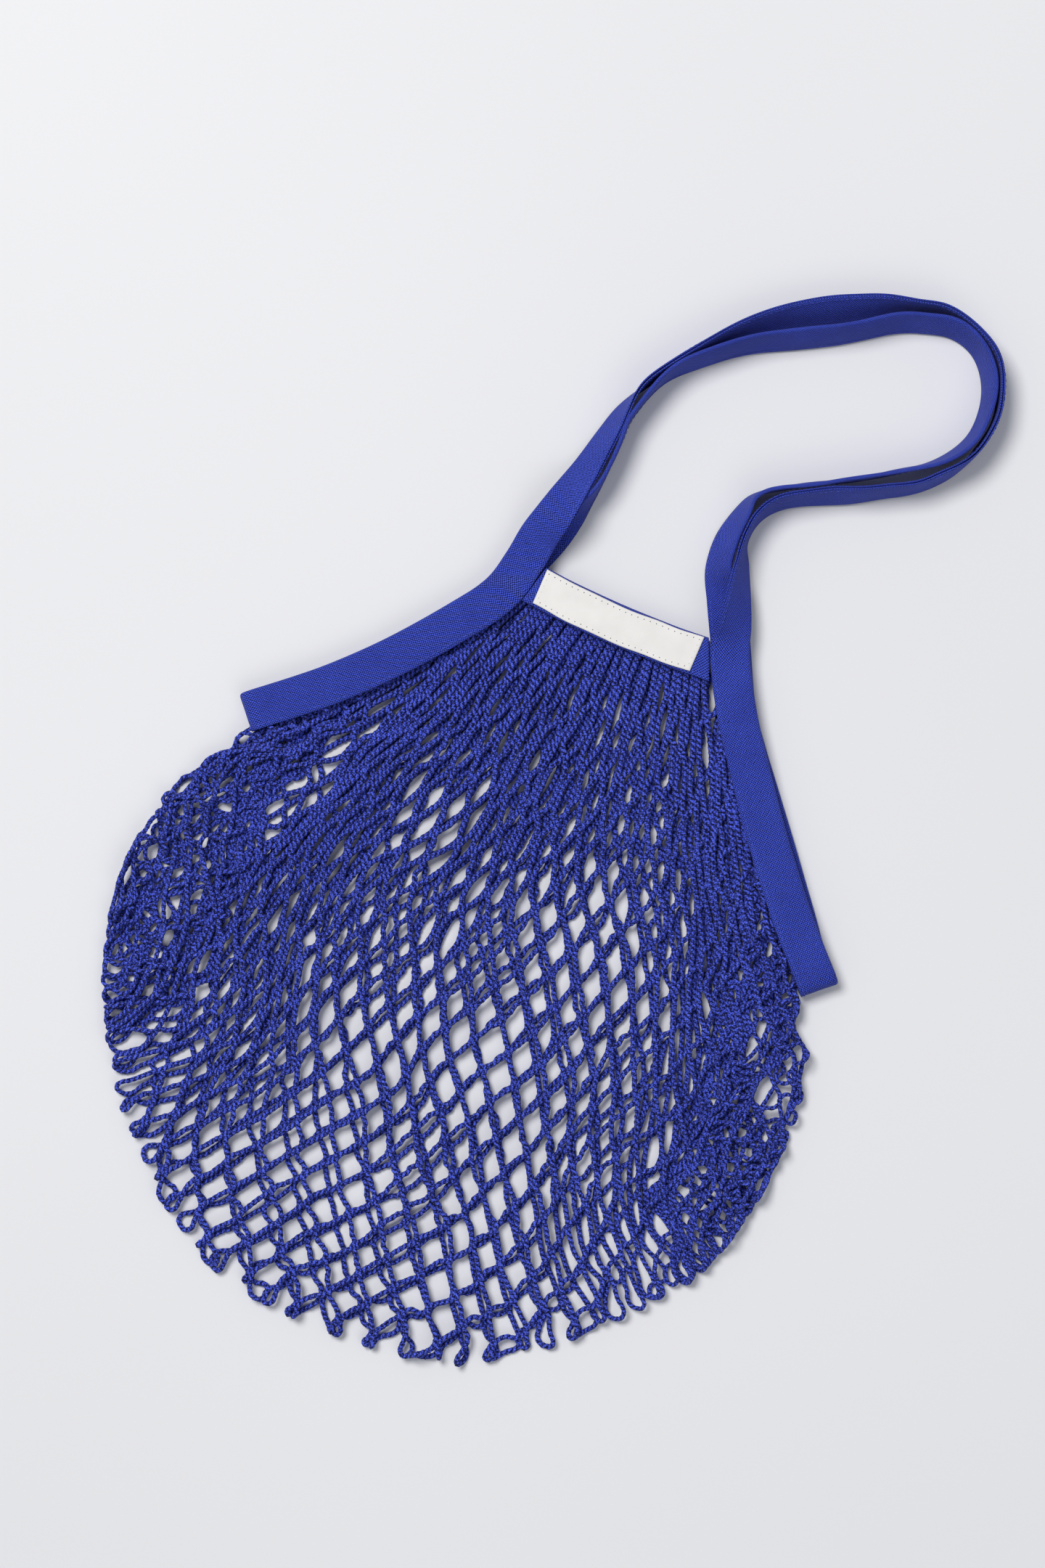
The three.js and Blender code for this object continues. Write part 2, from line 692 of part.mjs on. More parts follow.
const bag = new THREE.Group();
bag.add(
  piece("net_body", netBody(), BLUE_CORD, 0.9),
  piece("front_band", bandSolid(FRONT_BAND, FRONT_LEVEL), BLUE_CANVAS, 0.85),
  piece("back_band", bandSolid(BACK_BAND, BACK_LEVEL), BLUE_CANVAS, 0.85),
  piece("front_tape", frontTape(), BLUE_CANVAS, 0.85),
  piece("back_tape", backTape(), BLUE_CANVAS, 0.85),
  piece("label", labelSolid(), CREAM, 0.8),
);

export default bag;
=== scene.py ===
"""Looks of a knitted net shopping bag lying flat: cords, canvas mouth and straps, a bare sewn patch."""
import math

import bpy
import numpy as np
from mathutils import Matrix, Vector


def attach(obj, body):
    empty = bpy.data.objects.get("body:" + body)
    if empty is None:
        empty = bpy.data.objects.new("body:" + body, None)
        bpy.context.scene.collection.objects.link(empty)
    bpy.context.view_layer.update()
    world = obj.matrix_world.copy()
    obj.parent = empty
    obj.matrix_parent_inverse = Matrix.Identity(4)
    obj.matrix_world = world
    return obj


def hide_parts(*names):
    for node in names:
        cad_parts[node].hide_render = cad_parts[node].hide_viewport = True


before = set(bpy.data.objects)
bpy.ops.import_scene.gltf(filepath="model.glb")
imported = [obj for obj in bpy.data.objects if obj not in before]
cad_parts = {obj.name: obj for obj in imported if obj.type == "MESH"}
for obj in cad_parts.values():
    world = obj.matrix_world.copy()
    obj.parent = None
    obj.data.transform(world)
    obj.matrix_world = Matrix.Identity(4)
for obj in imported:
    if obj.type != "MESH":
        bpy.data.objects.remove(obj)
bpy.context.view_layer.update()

MM = 0.001  # this script works in millimetres, Blender in metres
TINY = 1e-9  # keeps a division by a length safe
UP = np.array([0, 0, 1.0])

# Seeds of the uneven fields and the random draws
SEED = 11
CORD_SEED = SEED + 1
LABEL_SWELL_SEED = SEED + 5
LABEL_WAVE_SEED = SEED + 6
BACK_SEED = SEED + 7
PLEAT_SEED = SEED + 30
CRUMPLE_SEEDS = (SEED + 40, SEED + 41)
WARP_DOWN_SHIFT = 50  # added to a layer's seed
FINE_WARP_SHIFTS = (51, 52)
LIE_SEED = SEED + 70

# Canvas
CANVAS = 1.0  # thickness of one layer, with the room it takes
CLOTH = 0.8  # thickness of the cloth itself
TAPE_WIDTH = 22.0
FIT = 0.3  # room between two pieces
SELVEDGE = 1.2  # thickness of the net's edge inside the canvas
BINDING = 2 * CANVAS + SELVEDGE + 2 * FIT  # canvas, net and canvas
STRAP_THICKNESS = 2 * CANVAS + FIT
END_GAP = 0.45  # between the two tapes at the corners of the mouth
EDGE_ROUND = 0.3  # how far its faces stop short of the open edge
TAPE_SWAY = 0.42  # soft unevenness of the tapes
SWAY_LENGTH = 38.0
TAPE_STEP = 2.0  # distance between a tape's sections
BAND_STEPS = 56  # steps along a band
TURN_STEPS = 10  # sections in a tape's half turn at a corner of the mouth
TABLE_STEPS = 40  # fine steps for each row of a tape's table
TANGENT_REACH = 0.02  # rows each way over which a tape's direction is taken
FLAT_STEPS = 10  # points across each face of the canvas
FOLD_STEPS = 6
SLOT_STEPS = 5  # points across each face of the slot inside
SLOT_FOLD_STEPS = 3
WEAVE_PITCH = 1.45
THREAD_STRAY = 0.9  # how far the threads stray from straight
FIBRE_SHARE = 0.25  # share of loose fibres in the canvas's colour, beside the painted shade of the weave

# Levels of the two layers, from the surface up
MOUTH_GAP = 6.4
BACK_LEVEL = BINDING / 2
FRONT_LEVEL = BINDING + MOUTH_GAP + BINDING / 2
FRONT_NET = 5.8  # middle of the front net, where it lies over the back one
BACK_NET = 1.6
HIGHEST_NET = 17.0

# Stitches
STITCH_PITCH = 3.2
STITCH_LENGTH = 2.3
STITCH_WIDTH = 0.55
STITCH_HEIGHT = 0.26
STITCH_INSET = 2.0  # from the open edge of the canvas
STITCH_SIDES = 5
STITCH_SINK = 0.4  # thickness at which a stitch's middle lies level with the cloth
STITCH_FORM = [(0.0, 0.25), (0.18, 0.9), (0.5, 1.0), (0.82, 0.9), (1.0, 0.25)]  # place along it, thickness
GROOVE_DEPTH = 0.22  # how far the sewing draws the canvas in
GROOVE_REACH = 1.3

# Label
LABEL_LENGTH = 94.0
LABEL_HEIGHT = 20.4
LABEL_THICKNESS = 1.0
LABEL_BOTTOM = FRONT_LEVEL + BINDING / 2 + FIT
LABEL_SAG = 2.5
LABEL_WAVE = 0.25  # how far its edges stray
LABEL_WAVE_LENGTH = 26.0
LABEL_SWELL = 0.2  # how far its face rises and falls
LABEL_SWELL_LENGTH = 30.0
LABEL_EDGE = [(0.0, 0.5), (0.35, 0.9)]  # distance from the long edge, share of the thickness
LABEL_FLAT_FROM = 1.0  # distance from the long edge
LABEL_ROWS = 16
LABEL_END_STEP = 0.4
LABEL_END_RISE = 0.55  # share of the thickness at the short edges
LABEL_COLUMNS = 80
LABEL_STITCH_INSET = 2.0
LABEL_STITCH_PITCH = 3.6
LABEL_STITCH_HALF = 0.3  # half the length of a stitch
LABEL_STITCH_WIDTH = 0.6
LABEL_STITCH_HEIGHT = 0.22
LABEL_STITCH_DEPTH = 0.2  # how far the stitches lie below the face
LABEL_STITCH_AHEAD = 0.2  # how far ahead a stitch's way is taken
LABEL_GROOVE_DEPTH = 0.18
LABEL_GROOVE_REACH = 0.7

# Net
CORDS = 80
SLOPE_CORDS = 24  # cords that hang from each sloping side of the mouth
SLOPE_CROWDING = 1.25  # above 1, cords start closer together near the band
CORNER_ROWS = 0.3  # rows of a tape's table past the outermost cord
BACK_SHIFT = 0.5  # how far back cords start beside front ones, in cords
TUCK = 4.0  # how far the cords reach into the canvas
HALF_ROWS = 29  # most rows that a cord has from the mouth to the rim
FEWEST_ROWS = 8
STEPS = 4  # steps in each row: one along the kiss, the others along the strand
KISS = 4.8  # length over which two cords run side by side
STRAND = 14.1  # length from one kiss to the next
STRAND_STEP = STRAND / (STEPS - 1)
LEAST_OPEN = 0.3  # least rise of a strand drawn out sideways, as a share of its length
RIM_GIVE = 5  # how near the rim the rows are fitted to the length of the path
KISS_GAP = 2.7  # distance between two kissing cords
TOP_KISS_GAP = 3.1  # the same under the mouth
SEAM_GAP = 12.0  # distance between the layers' edges at the sides
SEAM_FROM = 3  # first row that is joined at the sides
SEAM_EVERY = 4
RIM_INSET = 1.0
PATH_POINTS = 60  # points of a cord's path before it is divided into rows
SHARES = (np.arange(CORDS) + 0.5) / CORDS  # places of the cords across the net, from the left
FOLD = HALF_ROWS * STEPS  # point of a cord at the rim, between its front and back halves
POINTS = 2 * FOLD + 1  # points of a cord
STRANDS = np.arange(2 * HALF_ROWS)[:, None] * STEPS + np.arange(1, STEPS)  # the steps of each strand

# Cords
CORD_RADIUS = 1.52
HEAP_RADIUS = 1.26  # the cords are finer in the heaps
TOP_RADIUS = 1.7  # and bulkier where the net is drawn together
HEAP_SIDE = (135.0, 30.0)  # distance from the middle where they get finer, and its reach
FRONT_RING = 0.8  # distance between a cord's rings
BACK_RING = 1.15
CORD_FINENESS = 8  # points of the smoothed line for each step
CORD_SIDES = 6
CORD_ROUGHNESS = 0.04
TWIST_ROWS = 2  # rows of bumps that wind round a cord
TWIST_PITCH = 3.2  # length along a cord after which the bumps repeat
TWIST_DEPTH = 0.1
TWIST_SHADE_SHARE = 0.28  # share of the painted shade in the grooves of the winding rows, in the cord's colour
LOOP_LENGTH = 1.0  # a loop of yarn along the cord
LOOPS_ROUND = 7.0
LOOP_STRAY = 0.75
CORDS_PER_STRIP = 12

# How the cords find their lie
ROUNDS = 300
PASSES = 2  # times in each round that lengths and kisses are held
START_NOISE = 0.4
PULL = 0.006  # how firmly the cords keep to their paths
EDGE_PULL = 0.02  # the same near the mouth and near the rim
RIM_PULL = 0.07  # the same for the loops of the rim
MOUTH_REACH = 2 * STEPS  # steps that count as near the mouth
RIM_REACH = 1.5 * STEPS
RIM_LOOP = 0.5 * STEPS  # steps of a rim loop on each side of its end
HEIGHT_PULL = 0.08  # how firmly they keep their height
LOOSE_HEIGHT = 0.05  # how much less they do in the heaps
SMOOTHING = 0.1
STIFFNESS = 0.88  # how nearly straight a cord stays over two steps
LOOSE_STIFFNESS = 0.95  # the same in the heaps
RIM_STIFFNESS = 0.985  # the loops of the rim stay round
SETTLE_EVERY = 40  # rounds after which the strands are fitted to what they span
EASE = 0.07  # most slack that is left in a strand, as a share of its span
EASE_POWER = 1.5  # above 1, little slack is commoner than much
SETTLED_MOST = 1.3  # longest that a strand may get, as a share of its length
LEAST_KEPT = 0.5  # share of a strand's length that is kept each time, outside the heaps


def tape_table(level, strap, left, right):
    """Route of the edge that a tape stands on: x, y, height, tilt in degrees, grip on the net."""
    left, right = ([(x, y, level, 0, 1) for x, y in side] for side in (left, right))
    return left + [(*row, 0) for row in strap] + right


# Straps: x, y, height, tilt. Left and right of them the tapes lie flat along the mouth: x, y.
FRONT_STRAP = [
    (-69.3, 27, 13.4, 4),
    (-65.5, 41, 16.8, 16),
    (-62.3, 52, 16.4, 29),
    (-57, 71, 4.5, 45),
    (-51.5, 92, 1.7, 58),
    (-46.5, 109, 1.3, 72),
    (-38.5, 124, 0.8, 90),
    (-26, 141, 0.8, 98),
    (-10, 158, 0.9, 107),
    (10, 175, 1, 119),
    (32, 191, 1, 125),
    (61, 208, 1, 121),
    (82, 219.5, 0.9, 107),
    (99, 226.5, 0.8, 96),
    (120, 223, 0.8, 92),
    (138.5, 208.5, 0.8, 92),
    (146.3, 185, 0.8, 92),
    (143, 161, 0.8, 90),
    (129, 136, 0.9, 79),
    (106, 119, 1, 73),
    (80, 105, 1, 72),
    (60, 94, 1, 73),
    (50, 82, 0.9, 79),
    (48, 68, 1.2, 82),
    (54, 56, 6, 68),
    (62.5, 38, 12, 48),
    (68.5, 25, 13, 30),
]
FRONT_TAPE = tape_table(
    FRONT_LEVEL,
    FRONT_STRAP,
    left=[(-170.5, -115), (-140, -88), (-113, -59), (-89, -28), (-76, -8), (-71.5, 10)],
    right=[(74.5, 10), (88, -13), (103, -34), (130, -69), (160, -104), (186, -130.5)],
)
BACK_STRAP = [
    (-42.5, 25, 1.9, -8),
    (-40, 40, 1.2, -44),
    (-39.2, 52, 1, -76),
    (-38.6, 66, 0.8, -88),
    (-37.8, 90, 0.8, -89),
    (-37.2, 107.5, 0.8, -88),
    (-29.5, 130, 0.8, -84),
    (-14, 147, 0.9, -74),
    (13, 167.5, 1, -68),
    (49, 187.5, 1, -67),
    (76, 206, 1, -67),
    (92, 213.5, 0.9, -69),
    (107, 217, 0.9, -70),
    (122, 213, 0.8, -75),
    (132.5, 202, 0.8, -76),
    (137.5, 186, 0.8, -77),
    (137, 168, 0.8, -79),
    (127, 151.5, 0.8, -83),
    (109, 136.5, 0.8, -87),
    (80, 118, 0.8, -88),
    (54, 103, 0.8, -88),
    (42, 94, 0.8, -84),
    (36.5, 84, 0.9, -72),
    (31.5, 65, 1, -57),
    (33.5, 46, 1, -52),
    (41, 30, 1.2, -26),
    (46.5, 19, 1.9, -10),
]
BACK_TAPE = tape_table(
    BACK_LEVEL,
    BACK_STRAP,
    left=[(-156, -131.6), (-124.5, -104), (-96, -73.5), (-71, -41), (-55.5, -15), (-48.5, 7)],
    right=[(53.5, 6), (70, -25), (86, -46), (115, -80.5), (144, -115.5), (160, -135.4), (170.4, -146)],
)
STEADY_FROM = 2  # the columns from height on never swing past the two rows they lie between

# Rows of the tapes' tables where the band meets their open edge
FRONT_JOINS = (4.1, 33.7)
BACK_JOINS = (4.2, 33.6)

# Folded strips across the middle of the mouth: x and y of the fold, x and y of the open edge.
FRONT_BAND = [
    (-47.8, 11, -53, -11),
    (-25, 9.2, -27, -12.8),
    (0, 8.5, 0, -13.5),
    (25, 9.2, 28, -12.8),
    (49.4, 11, 59, -11),
]
BACK_BAND = [
    (-45.8, 11, -52.6, -11),
    (-25, 10, -27, -12),
    (0, 9.5, 0, -12.5),
    (25, 10, 28, -12),
    (50, 11, 59, -11),
]

# Rim of the net: down the left side, along the bottom and up the right side.
RIM = [
    (-158, -138), (-166, -146), (-184, -166), (-196, -205), (-196, -250), (-184, -293),
    (-165, -332), (-140, -363), (-107, -393), (-70, -416), (-30, -424), (10, -425),
    (52, -421), (94, -407), (146, -365), (182, -319), (196, -275), (200, -236),
    (198, -200), (191, -168), (179, -157), (172, -149),
]
RIM_CENTRE = np.array([0.0, -240.0])
RIM_OPEN_ABOVE = -146  # the rim holds the net only below this

# Lie of the net: share of the cords from the left, how far round the rim they end, and x and y of four
# points that they pass. At both sides the outermost cords turn back inwards, so the net is folded there.
GUIDES = [
    (0.0, 208, -160, -158, -148, -198, -140, -242, -143, -290),
    (0.08, 168, -175, -160, -180, -193, -174, -232, -173, -268),
    (0.16, 140, -164, -151, -187, -180, -194, -212, -195, -240),
    (0.24, 195, -106, -121, -134, -184, -146, -240, -150, -290),
    (0.303, 243, -80, -95, -104, -165, -112, -225, -114, -296),
    (0.4, 325, -44, -95, -60, -160, -69, -225, -70, -300),
    (0.5, 411, 0, -95, -8, -160, -6, -225, 1, -300),
    (0.6, 502, 45, -90, 53, -150, 62, -220, 73, -300),
    (0.697, 592, 86, -92, 106, -150, 116, -220, 124, -292),
    (0.76, 636, 110, -112, 138, -170, 154, -225, 160, -282),
    (0.84, 690, 150, -140, 182, -180, 196, -210, 199, -238),
    (0.92, 664, 172, -157, 182, -192, 180, -230, 179, -266),
    (1.0, 630, 172, -165, 161, -202, 151, -242, 152, -290),
]

# Spare length of the cords, by share across the net
SLACK_AT = (0.0, 0.08, 0.16, 0.24, 0.3, 0.7, 0.76, 0.84, 0.92, 1.0)
SLACK = (0.2, 0.2, 0.2, 0.12, 0.04, 0.04, 0.12, 0.2, 0.2, 0.2)

# Layers of net: seed, unevenness, phase of the pleats, share of the spare length that the layer has
FRONT_LAYER = (SEED, 4.0, 0.0, 1.0)
BACK_LAYER = (BACK_SEED, 9.0, 2.0, 0.2)

# Places where the front layer is spread across its cords: x, y, reach across, reach along, strength.
SPREADS = [
    (75, -140, 40, 50, 0.25),
    (118, -245, 30, 36, 0.25),
]

# Where the net is drawn together under the mouth
DRAWN = (-190.0, 90.0)  # y in the middle where that starts, from below, and its reach
DRAWN_LEAN = 0.3  # how much lower it starts towards the left, for each millimetre
DRAWN_SIDE = 165.0  # distance from the middle at which it has ended
DRAWN_SIDE_REACH = 50.0

# Heaps of loose net at the two sides
HEAP_SHARE = 0.29  # share of the cords that lie in each heap
HEAP_FADE = 0.13
HEAP_INNER = (6.0, 0.8, 8.0)  # how fast a heap rises, how late it starts, how fast it ends
PLEAT = 6.0  # how far the heaped net swings from side to side
PLEAT_CORDS = 9.0  # cords in one pleat
PLEAT_INWARD = 0.2  # how far the pleats lie inwards, as a share of their swing
PLEAT_HEIGHT = 4.0
PLEAT_STRAY = 80.0  # length over which the pleats stray
BACK_PLEAT = 0.3  # height of the back layer's pleats, as a share of the front one's
CRUMPLE = 9.0
CRUMPLE_LENGTH = 30.0
BACK_DRAW = 30.0  # how far the back layer is drawn in from the rim beside the heaps
BACK_DRAW_SIDE = (110.0, 60.0)  # distance from the middle where that starts, and its reach

# Unevenness of both layers, inside an oval that the net fills
OVAL = (200.0, 196.0)  # half its width and height
OVAL_CENTRE = -232.0
OVAL_FADE = 6.0
WARP_INNER = (4.0, 0.0, 5.0)  # how fast it rises, how late it starts, how fast it ends
WARP_LENGTH = 150.0
WARP_DOWN = 0.25  # unevenness down the net, as a share of that across it
FINE_WARP = 1.6
FINE_WARP_LENGTH = 60.0
WANDER = 1.0  # how far each cord strays by itself
WANDER_HEIGHT = 0.6
WANDER_REACH = 24  # points over which it does
LIE_LENGTH = 70.0  # length of the waves in which the whole net lies
UNDER_FROM = 5  # steps before the rim where the front layer starts to go under
UNDER_STEPS = 8

# Colours from dark to light, and the tints that vary them
# The canvas's blue runs from painted shade between the threads to painted highlight on their crowns.
CANVAS_SHADE_TO_HIGHLIGHT = ((0.001, 0.003, 0.05), (0.060, 0.108, 0.76))
CANVAS_TINTS = ((0.86, 0.86, 0.9), (1.08, 1.08, 1.05))
# The cord's blue runs from painted shade, between the loops and in the grooves of the winding rows, to
# painted highlight on the loops' backs.
CORD_SHADE_TO_HIGHLIGHT = ((0.0008, 0.002, 0.04), (0.100, 0.155, 0.97))
CORD_TINTS = ((0.82, 0.82, 0.88), (1.1, 1.1, 1.06))
THREAD_BLUE = ((0.030, 0.050, 0.36), (0.075, 0.12, 0.66))
PATCH_CREAM = ((0.755, 0.745, 0.725), (0.815, 0.805, 0.785))
# Painted shade inside the needle holes round the patch.
STITCH_HOLE_SHADE = ((0.06, 0.06, 0.07), (0.13, 0.13, 0.14))
FLOOR_PALE = ((0.76, 0.765, 0.785), (0.79, 0.795, 0.815))
SHEEN_ROUGHNESS = 0.5
SPECULAR = 0.25

# Sockets of the Mix node when it mixes colours
MIX_SHARE, MIX_A, MIX_B, MIX_RESULT = 0, 6, 7, 2

# Camera and stage, at the photograph's view
PIXEL = 0.4  # millimetres for each pixel of the 1440 by 2160 frame
IMAGE_HEIGHT = 2160
VIEW_CENTRE = (-12.8, -103.5)
VIEW_TURN = math.atan2(0.396, 0.918)  # the bag's turn in the picture, from a rise and a run
VIEW_LEVEL = 8.0  # height at which the scale is true
LENS = 85.0
SENSOR = 36.0
CLIP_END = 20000.0
FLOOR_HALF = 6000.0
FLOOR_LEVEL = -0.3  # a little below the bag
SKY_COLOR = (0.95, 0.965, 1.0, 1)
SKY_STRENGTH = 0.3

# Lights: name, place, diameter, power in watts, colour.
LIGHTS = [
    ("key", (-1700, 750, 3400), 1700, 118.0, (1.0, 0.99, 0.975)),
    ("fill", (1200, -900, 2200), 2000, 10.0, (0.95, 0.97, 1.0)),
]


# Lines and fields

def unit(v):
    return v / np.maximum(np.linalg.norm(v, axis=-1, keepdims=True), TINY)


def between(rows, places, steady_from=None):
    """Smooth values of a table at places counted in rows."""
    rows = np.array(rows, float)
    last = len(rows) - 1
    places = np.clip(np.atleast_1d(places).astype(float), 0, last)
    first = np.minimum(places.astype(int), last - 1)
    t = (places - first)[:, None]
    a, b, c, d = (rows[np.clip(first + step, 0, last)] for step in (-1, 0, 1, 2))
    value = b + t / 2 * (c - a + t * (2 * a - 5 * b + 4 * c - d + t * (3 * (b - c) + d - a)))
    if steady_from is not None:
        s = np.s_[:, steady_from:]
        value[s] = np.clip(value[s], np.minimum(b, c)[s], np.maximum(b, c)[s])
    return value


def lengths(line):
    """Length of a line up to each of its points."""
    return np.concatenate([[0], np.cumsum(np.linalg.norm(np.diff(line, axis=0), axis=1))])


def sampled(values, run, at):
    """Columns of values, known at the places of a run, at other places of it."""
    return np.stack([np.interp(at, run, column) for column in values.T], -1)


def along(line, share):
    """Points at shares of a line's length."""
    run = lengths(line)
    return sampled(line, run, np.asarray(share) * run[-1])


def smooth_line(points, steps=12):
    return between(points, np.linspace(0, len(points) - 1, steps * (len(points) - 1) + 1))


def rising(value, start, reach):
    """0 up to the start, 1 from a reach past it, and even between."""
    return np.clip((value - start) / reach, 0, 1)


def inner(share, rise, start, fall):
    """1 along most of a cord, fading out at the mouth and at the rim."""
    return np.clip(share * rise - start, 0, 1) * np.clip((1 - share) * fall, 0, 1)


def waves(x, y, seed, wavelength, count=7, spread=(0.7, 1.5)):
    """A smooth uneven field with about unit height."""
    draw = np.random.default_rng(seed)
    total = np.zeros_like(x)
    for _ in range(count):
        turn = draw.uniform(0, 2 * np.pi)
        length = wavelength * draw.uniform(*spread)
        phase = draw.uniform(0, 2 * np.pi)
        total += np.sin((x * np.cos(turn) + y * np.sin(turn)) * 2 * np.pi / length + phase)
    return total / count ** 0.5


# Objects and meshes

def placed(name, data):
    """A new object in the scene."""
    made = bpy.data.objects.new(name, data)
    bpy.context.scene.collection.objects.link(made)
    return made


def loft(sections, u, v):
    """Points, faces, corner UVs and end faces of a closed tube through equal sections."""
    n, m = sections.shape[:2]
    i, k = np.meshgrid(np.arange(n - 1), np.arange(m), indexing="ij")
    i, k = i.ravel(), k.ravel()
    following = (k + 1) % m
    quads = np.stack([i * m + k, i * m + following, (i + 1) * m + following, (i + 1) * m + k], 1)
    uv = np.stack([
        np.stack([u[i], v[k]], 1),
        np.stack([u[i], v[k + 1]], 1),
        np.stack([u[i + 1], v[k + 1]], 1),
        np.stack([u[i + 1], v[k]], 1),
    ], 1)
    ends = [list(range(m))[::-1], [(n - 1) * m + q for q in range(m)]]
    return sections.reshape(-1, 3), quads, uv, ends


def make_piece(name, parts, material):
    """One mesh object from lofted parts, in metres."""
    points, faces, uvs, caps = [], [], [], []
    start = 0
    for part_points, quads, uv, ends in parts:
        points.append(part_points)
        faces.append(quads + start)
        uvs.append(uv.reshape(-1, 2))
        caps += [[q + start for q in end] for end in ends]
        start += len(part_points)
    uvs.append(np.zeros((sum(len(cap) for cap in caps), 2)))
    mesh = bpy.data.meshes.new(name)
    mesh.from_pydata((np.vstack(points) * MM).tolist(), [], np.vstack(faces).tolist() + caps)
    layer = mesh.uv_layers.new(name="Cloth")
    layer.data.foreach_set("uv", np.vstack(uvs).astype(np.float32).ravel())
    mesh.polygons.foreach_set("use_smooth", np.ones(len(mesh.polygons), bool))
    mesh.materials.append(material)
    mesh.update()
    return placed(name, mesh)


# Materials

class Nodes:
    """Builds a node material step by step."""

    def __init__(self, name):
        self.material = bpy.data.materials.new(name)
        self.material.use_nodes = True
        self.tree = self.material.node_tree
        self.shader = self.tree.nodes["Principled BSDF"]

    def add(self, kind, inputs=(), **settings):
        """A node with its settings, and with its inputs linked or set."""
        node = self.tree.nodes.new(kind)
        for key, value in settings.items():
            setattr(node, key, value)
        for key, value in dict(inputs).items():
            if isinstance(value, bpy.types.NodeSocket):
                self.tree.links.new(value, node.inputs[key])
            else:
                node.inputs[key].default_value = value
        return node

    def math(self, operation, *values):
        return self.add("ShaderNodeMath", enumerate(values), operation=operation).outputs[0]

    def blend(self, a, b, share):
        """Two values added, the second by its share and the first by the rest."""
        return self.math("ADD", self.math("MULTIPLY", a, 1 - share), self.math("MULTIPLY", b, share))

    def raised(self, wave):
        """A wave between -1 and 1, brought to between 0 and 1."""
        return self.math("MULTIPLY_ADD", wave, 0.5, 0.5)

    def ramp(self, value, colors, low=0.3, high=0.7):
        """The first colour up to the low value, the second from the high one."""
        node = self.add("ShaderNodeValToRGB", {"Fac": value})
        for element, place, color in zip(node.color_ramp.elements, (low, high), colors):
            element.position = place
            element.color = (*color, 1)
        return node.outputs["Color"]

    def tinted(self, color, tint):
        """A colour multiplied by another."""
        inputs = {MIX_SHARE: 1.0, MIX_A: color, MIX_B: tint}
        node = self.add("ShaderNodeMix", inputs, data_type="RGBA", blend_type="MULTIPLY")
        return node.outputs[MIX_RESULT]

    def noise(self, scale, detail=1.0):
        """Uneven values over the piece, finer with a larger scale."""
        place = self.add("ShaderNodeTexCoord").outputs["Object"]
        inputs = {"Vector": place, "Scale": scale, "Detail": detail}
        return self.add("ShaderNodeTexNoise", inputs).outputs["Fac"]

    def uv(self):
        """Places along a piece and across or round it."""
        node = self.add("ShaderNodeSeparateXYZ", {0: self.add("ShaderNodeTexCoord").outputs["UV"]})
        return node.outputs[0], node.outputs[1]

    def finish(self, color, relief, strength, distance, roughness, sheen):
        """Gives the shader its colour, relief and finish."""
        inputs = {"Height": relief, "Strength": strength, "Distance": distance * MM}
        bump = self.add("ShaderNodeBump", inputs)
        self.tree.links.new(color, self.shader.inputs["Base Color"])
        self.tree.links.new(bump.outputs["Normal"], self.shader.inputs["Normal"])
        values = {"Roughness": roughness, "Sheen Weight": sheen, "Sheen Roughness": SHEEN_ROUGHNESS,
                  "Specular IOR Level": SPECULAR}
        for name, value in values.items():
            self.shader.inputs[name].default_value = value
        return self.material


def canvas_material():
    """Plain-woven canvas: threads that pass over and under each other, with painted shade between them and
    painted highlights on their crowns, and a little unevenness.
    """
    n = Nodes("blue_canvas")
    u, v = n.uv()
    turn = 2 * math.pi / WEAVE_PITCH
    stray = n.math("MULTIPLY", n.noise(scale=420.0), THREAD_STRAY)
    warp = n.math("SINE", n.math("MULTIPLY", n.math("ADD", u, stray), turn))
    weft = n.math("SINE", n.math("MULTIPLY", n.math("SUBTRACT", v, stray), turn))
    weave = n.raised(n.math("MULTIPLY", warp, weft))
    # The weave is dark between the threads' crowns, which is painted shade, and light on them, which is
    # painted highlight; it also gives the bump. The fibres and the tint are the cloth's own uneven tone.
    level = n.blend(weave, n.noise(scale=1400.0), FIBRE_SHARE)
    color = n.ramp(level, CANVAS_SHADE_TO_HIGHLIGHT, low=0.33, high=0.76)
    tint = n.ramp(n.noise(scale=45.0, detail=3.0), CANVAS_TINTS)
    return n.finish(n.tinted(color, tint), weave, strength=0.8, distance=0.3, roughness=0.85, sheen=0.05)


def cord_material():
    """Knitted cotton cord: small loops of yarn, with painted highlights on their backs and painted shade
    between them.
    """
    n = Nodes("blue_cord")
    u, v = n.uv()
    # Loops of yarn: darker towards the edge of each cell, which is painted shade between the loops, and
    # lighter on their backs, which is painted highlight.
    place = {0: n.math("DIVIDE", u, LOOP_LENGTH), 1: n.math("MULTIPLY", v, LOOPS_ROUND)}
    vector = n.add("ShaderNodeCombineXYZ", place).outputs[0]
    loops = {"Vector": vector, "Scale": 1.0, "Randomness": LOOP_STRAY}
    cells = n.add("ShaderNodeTexVoronoi", loops, voronoi_dimensions="2D").outputs["Distance"]
    # The winding rows: darker where the cord is thinnest, which is painted shade in its grooves; the same
    # values also give the bump.
    wound = n.math("MULTIPLY", u, 2 * math.pi / TWIST_PITCH)
    round_it = n.math("MULTIPLY", v, 2 * TWIST_ROWS * math.pi)
    twist = n.raised(n.math("COSINE", n.math("SUBTRACT", round_it, wound)))
    level = n.blend(n.math("SUBTRACT", 1.0, cells), twist, TWIST_SHADE_SHARE)
    color = n.ramp(level, CORD_SHADE_TO_HIGHLIGHT, low=0.44, high=0.9)
    tint = n.ramp(n.noise(scale=60.0, detail=3.0), CORD_TINTS)
    return n.finish(n.tinted(color, tint), level, strength=0.6, distance=0.5, roughness=0.9, sheen=0.05)


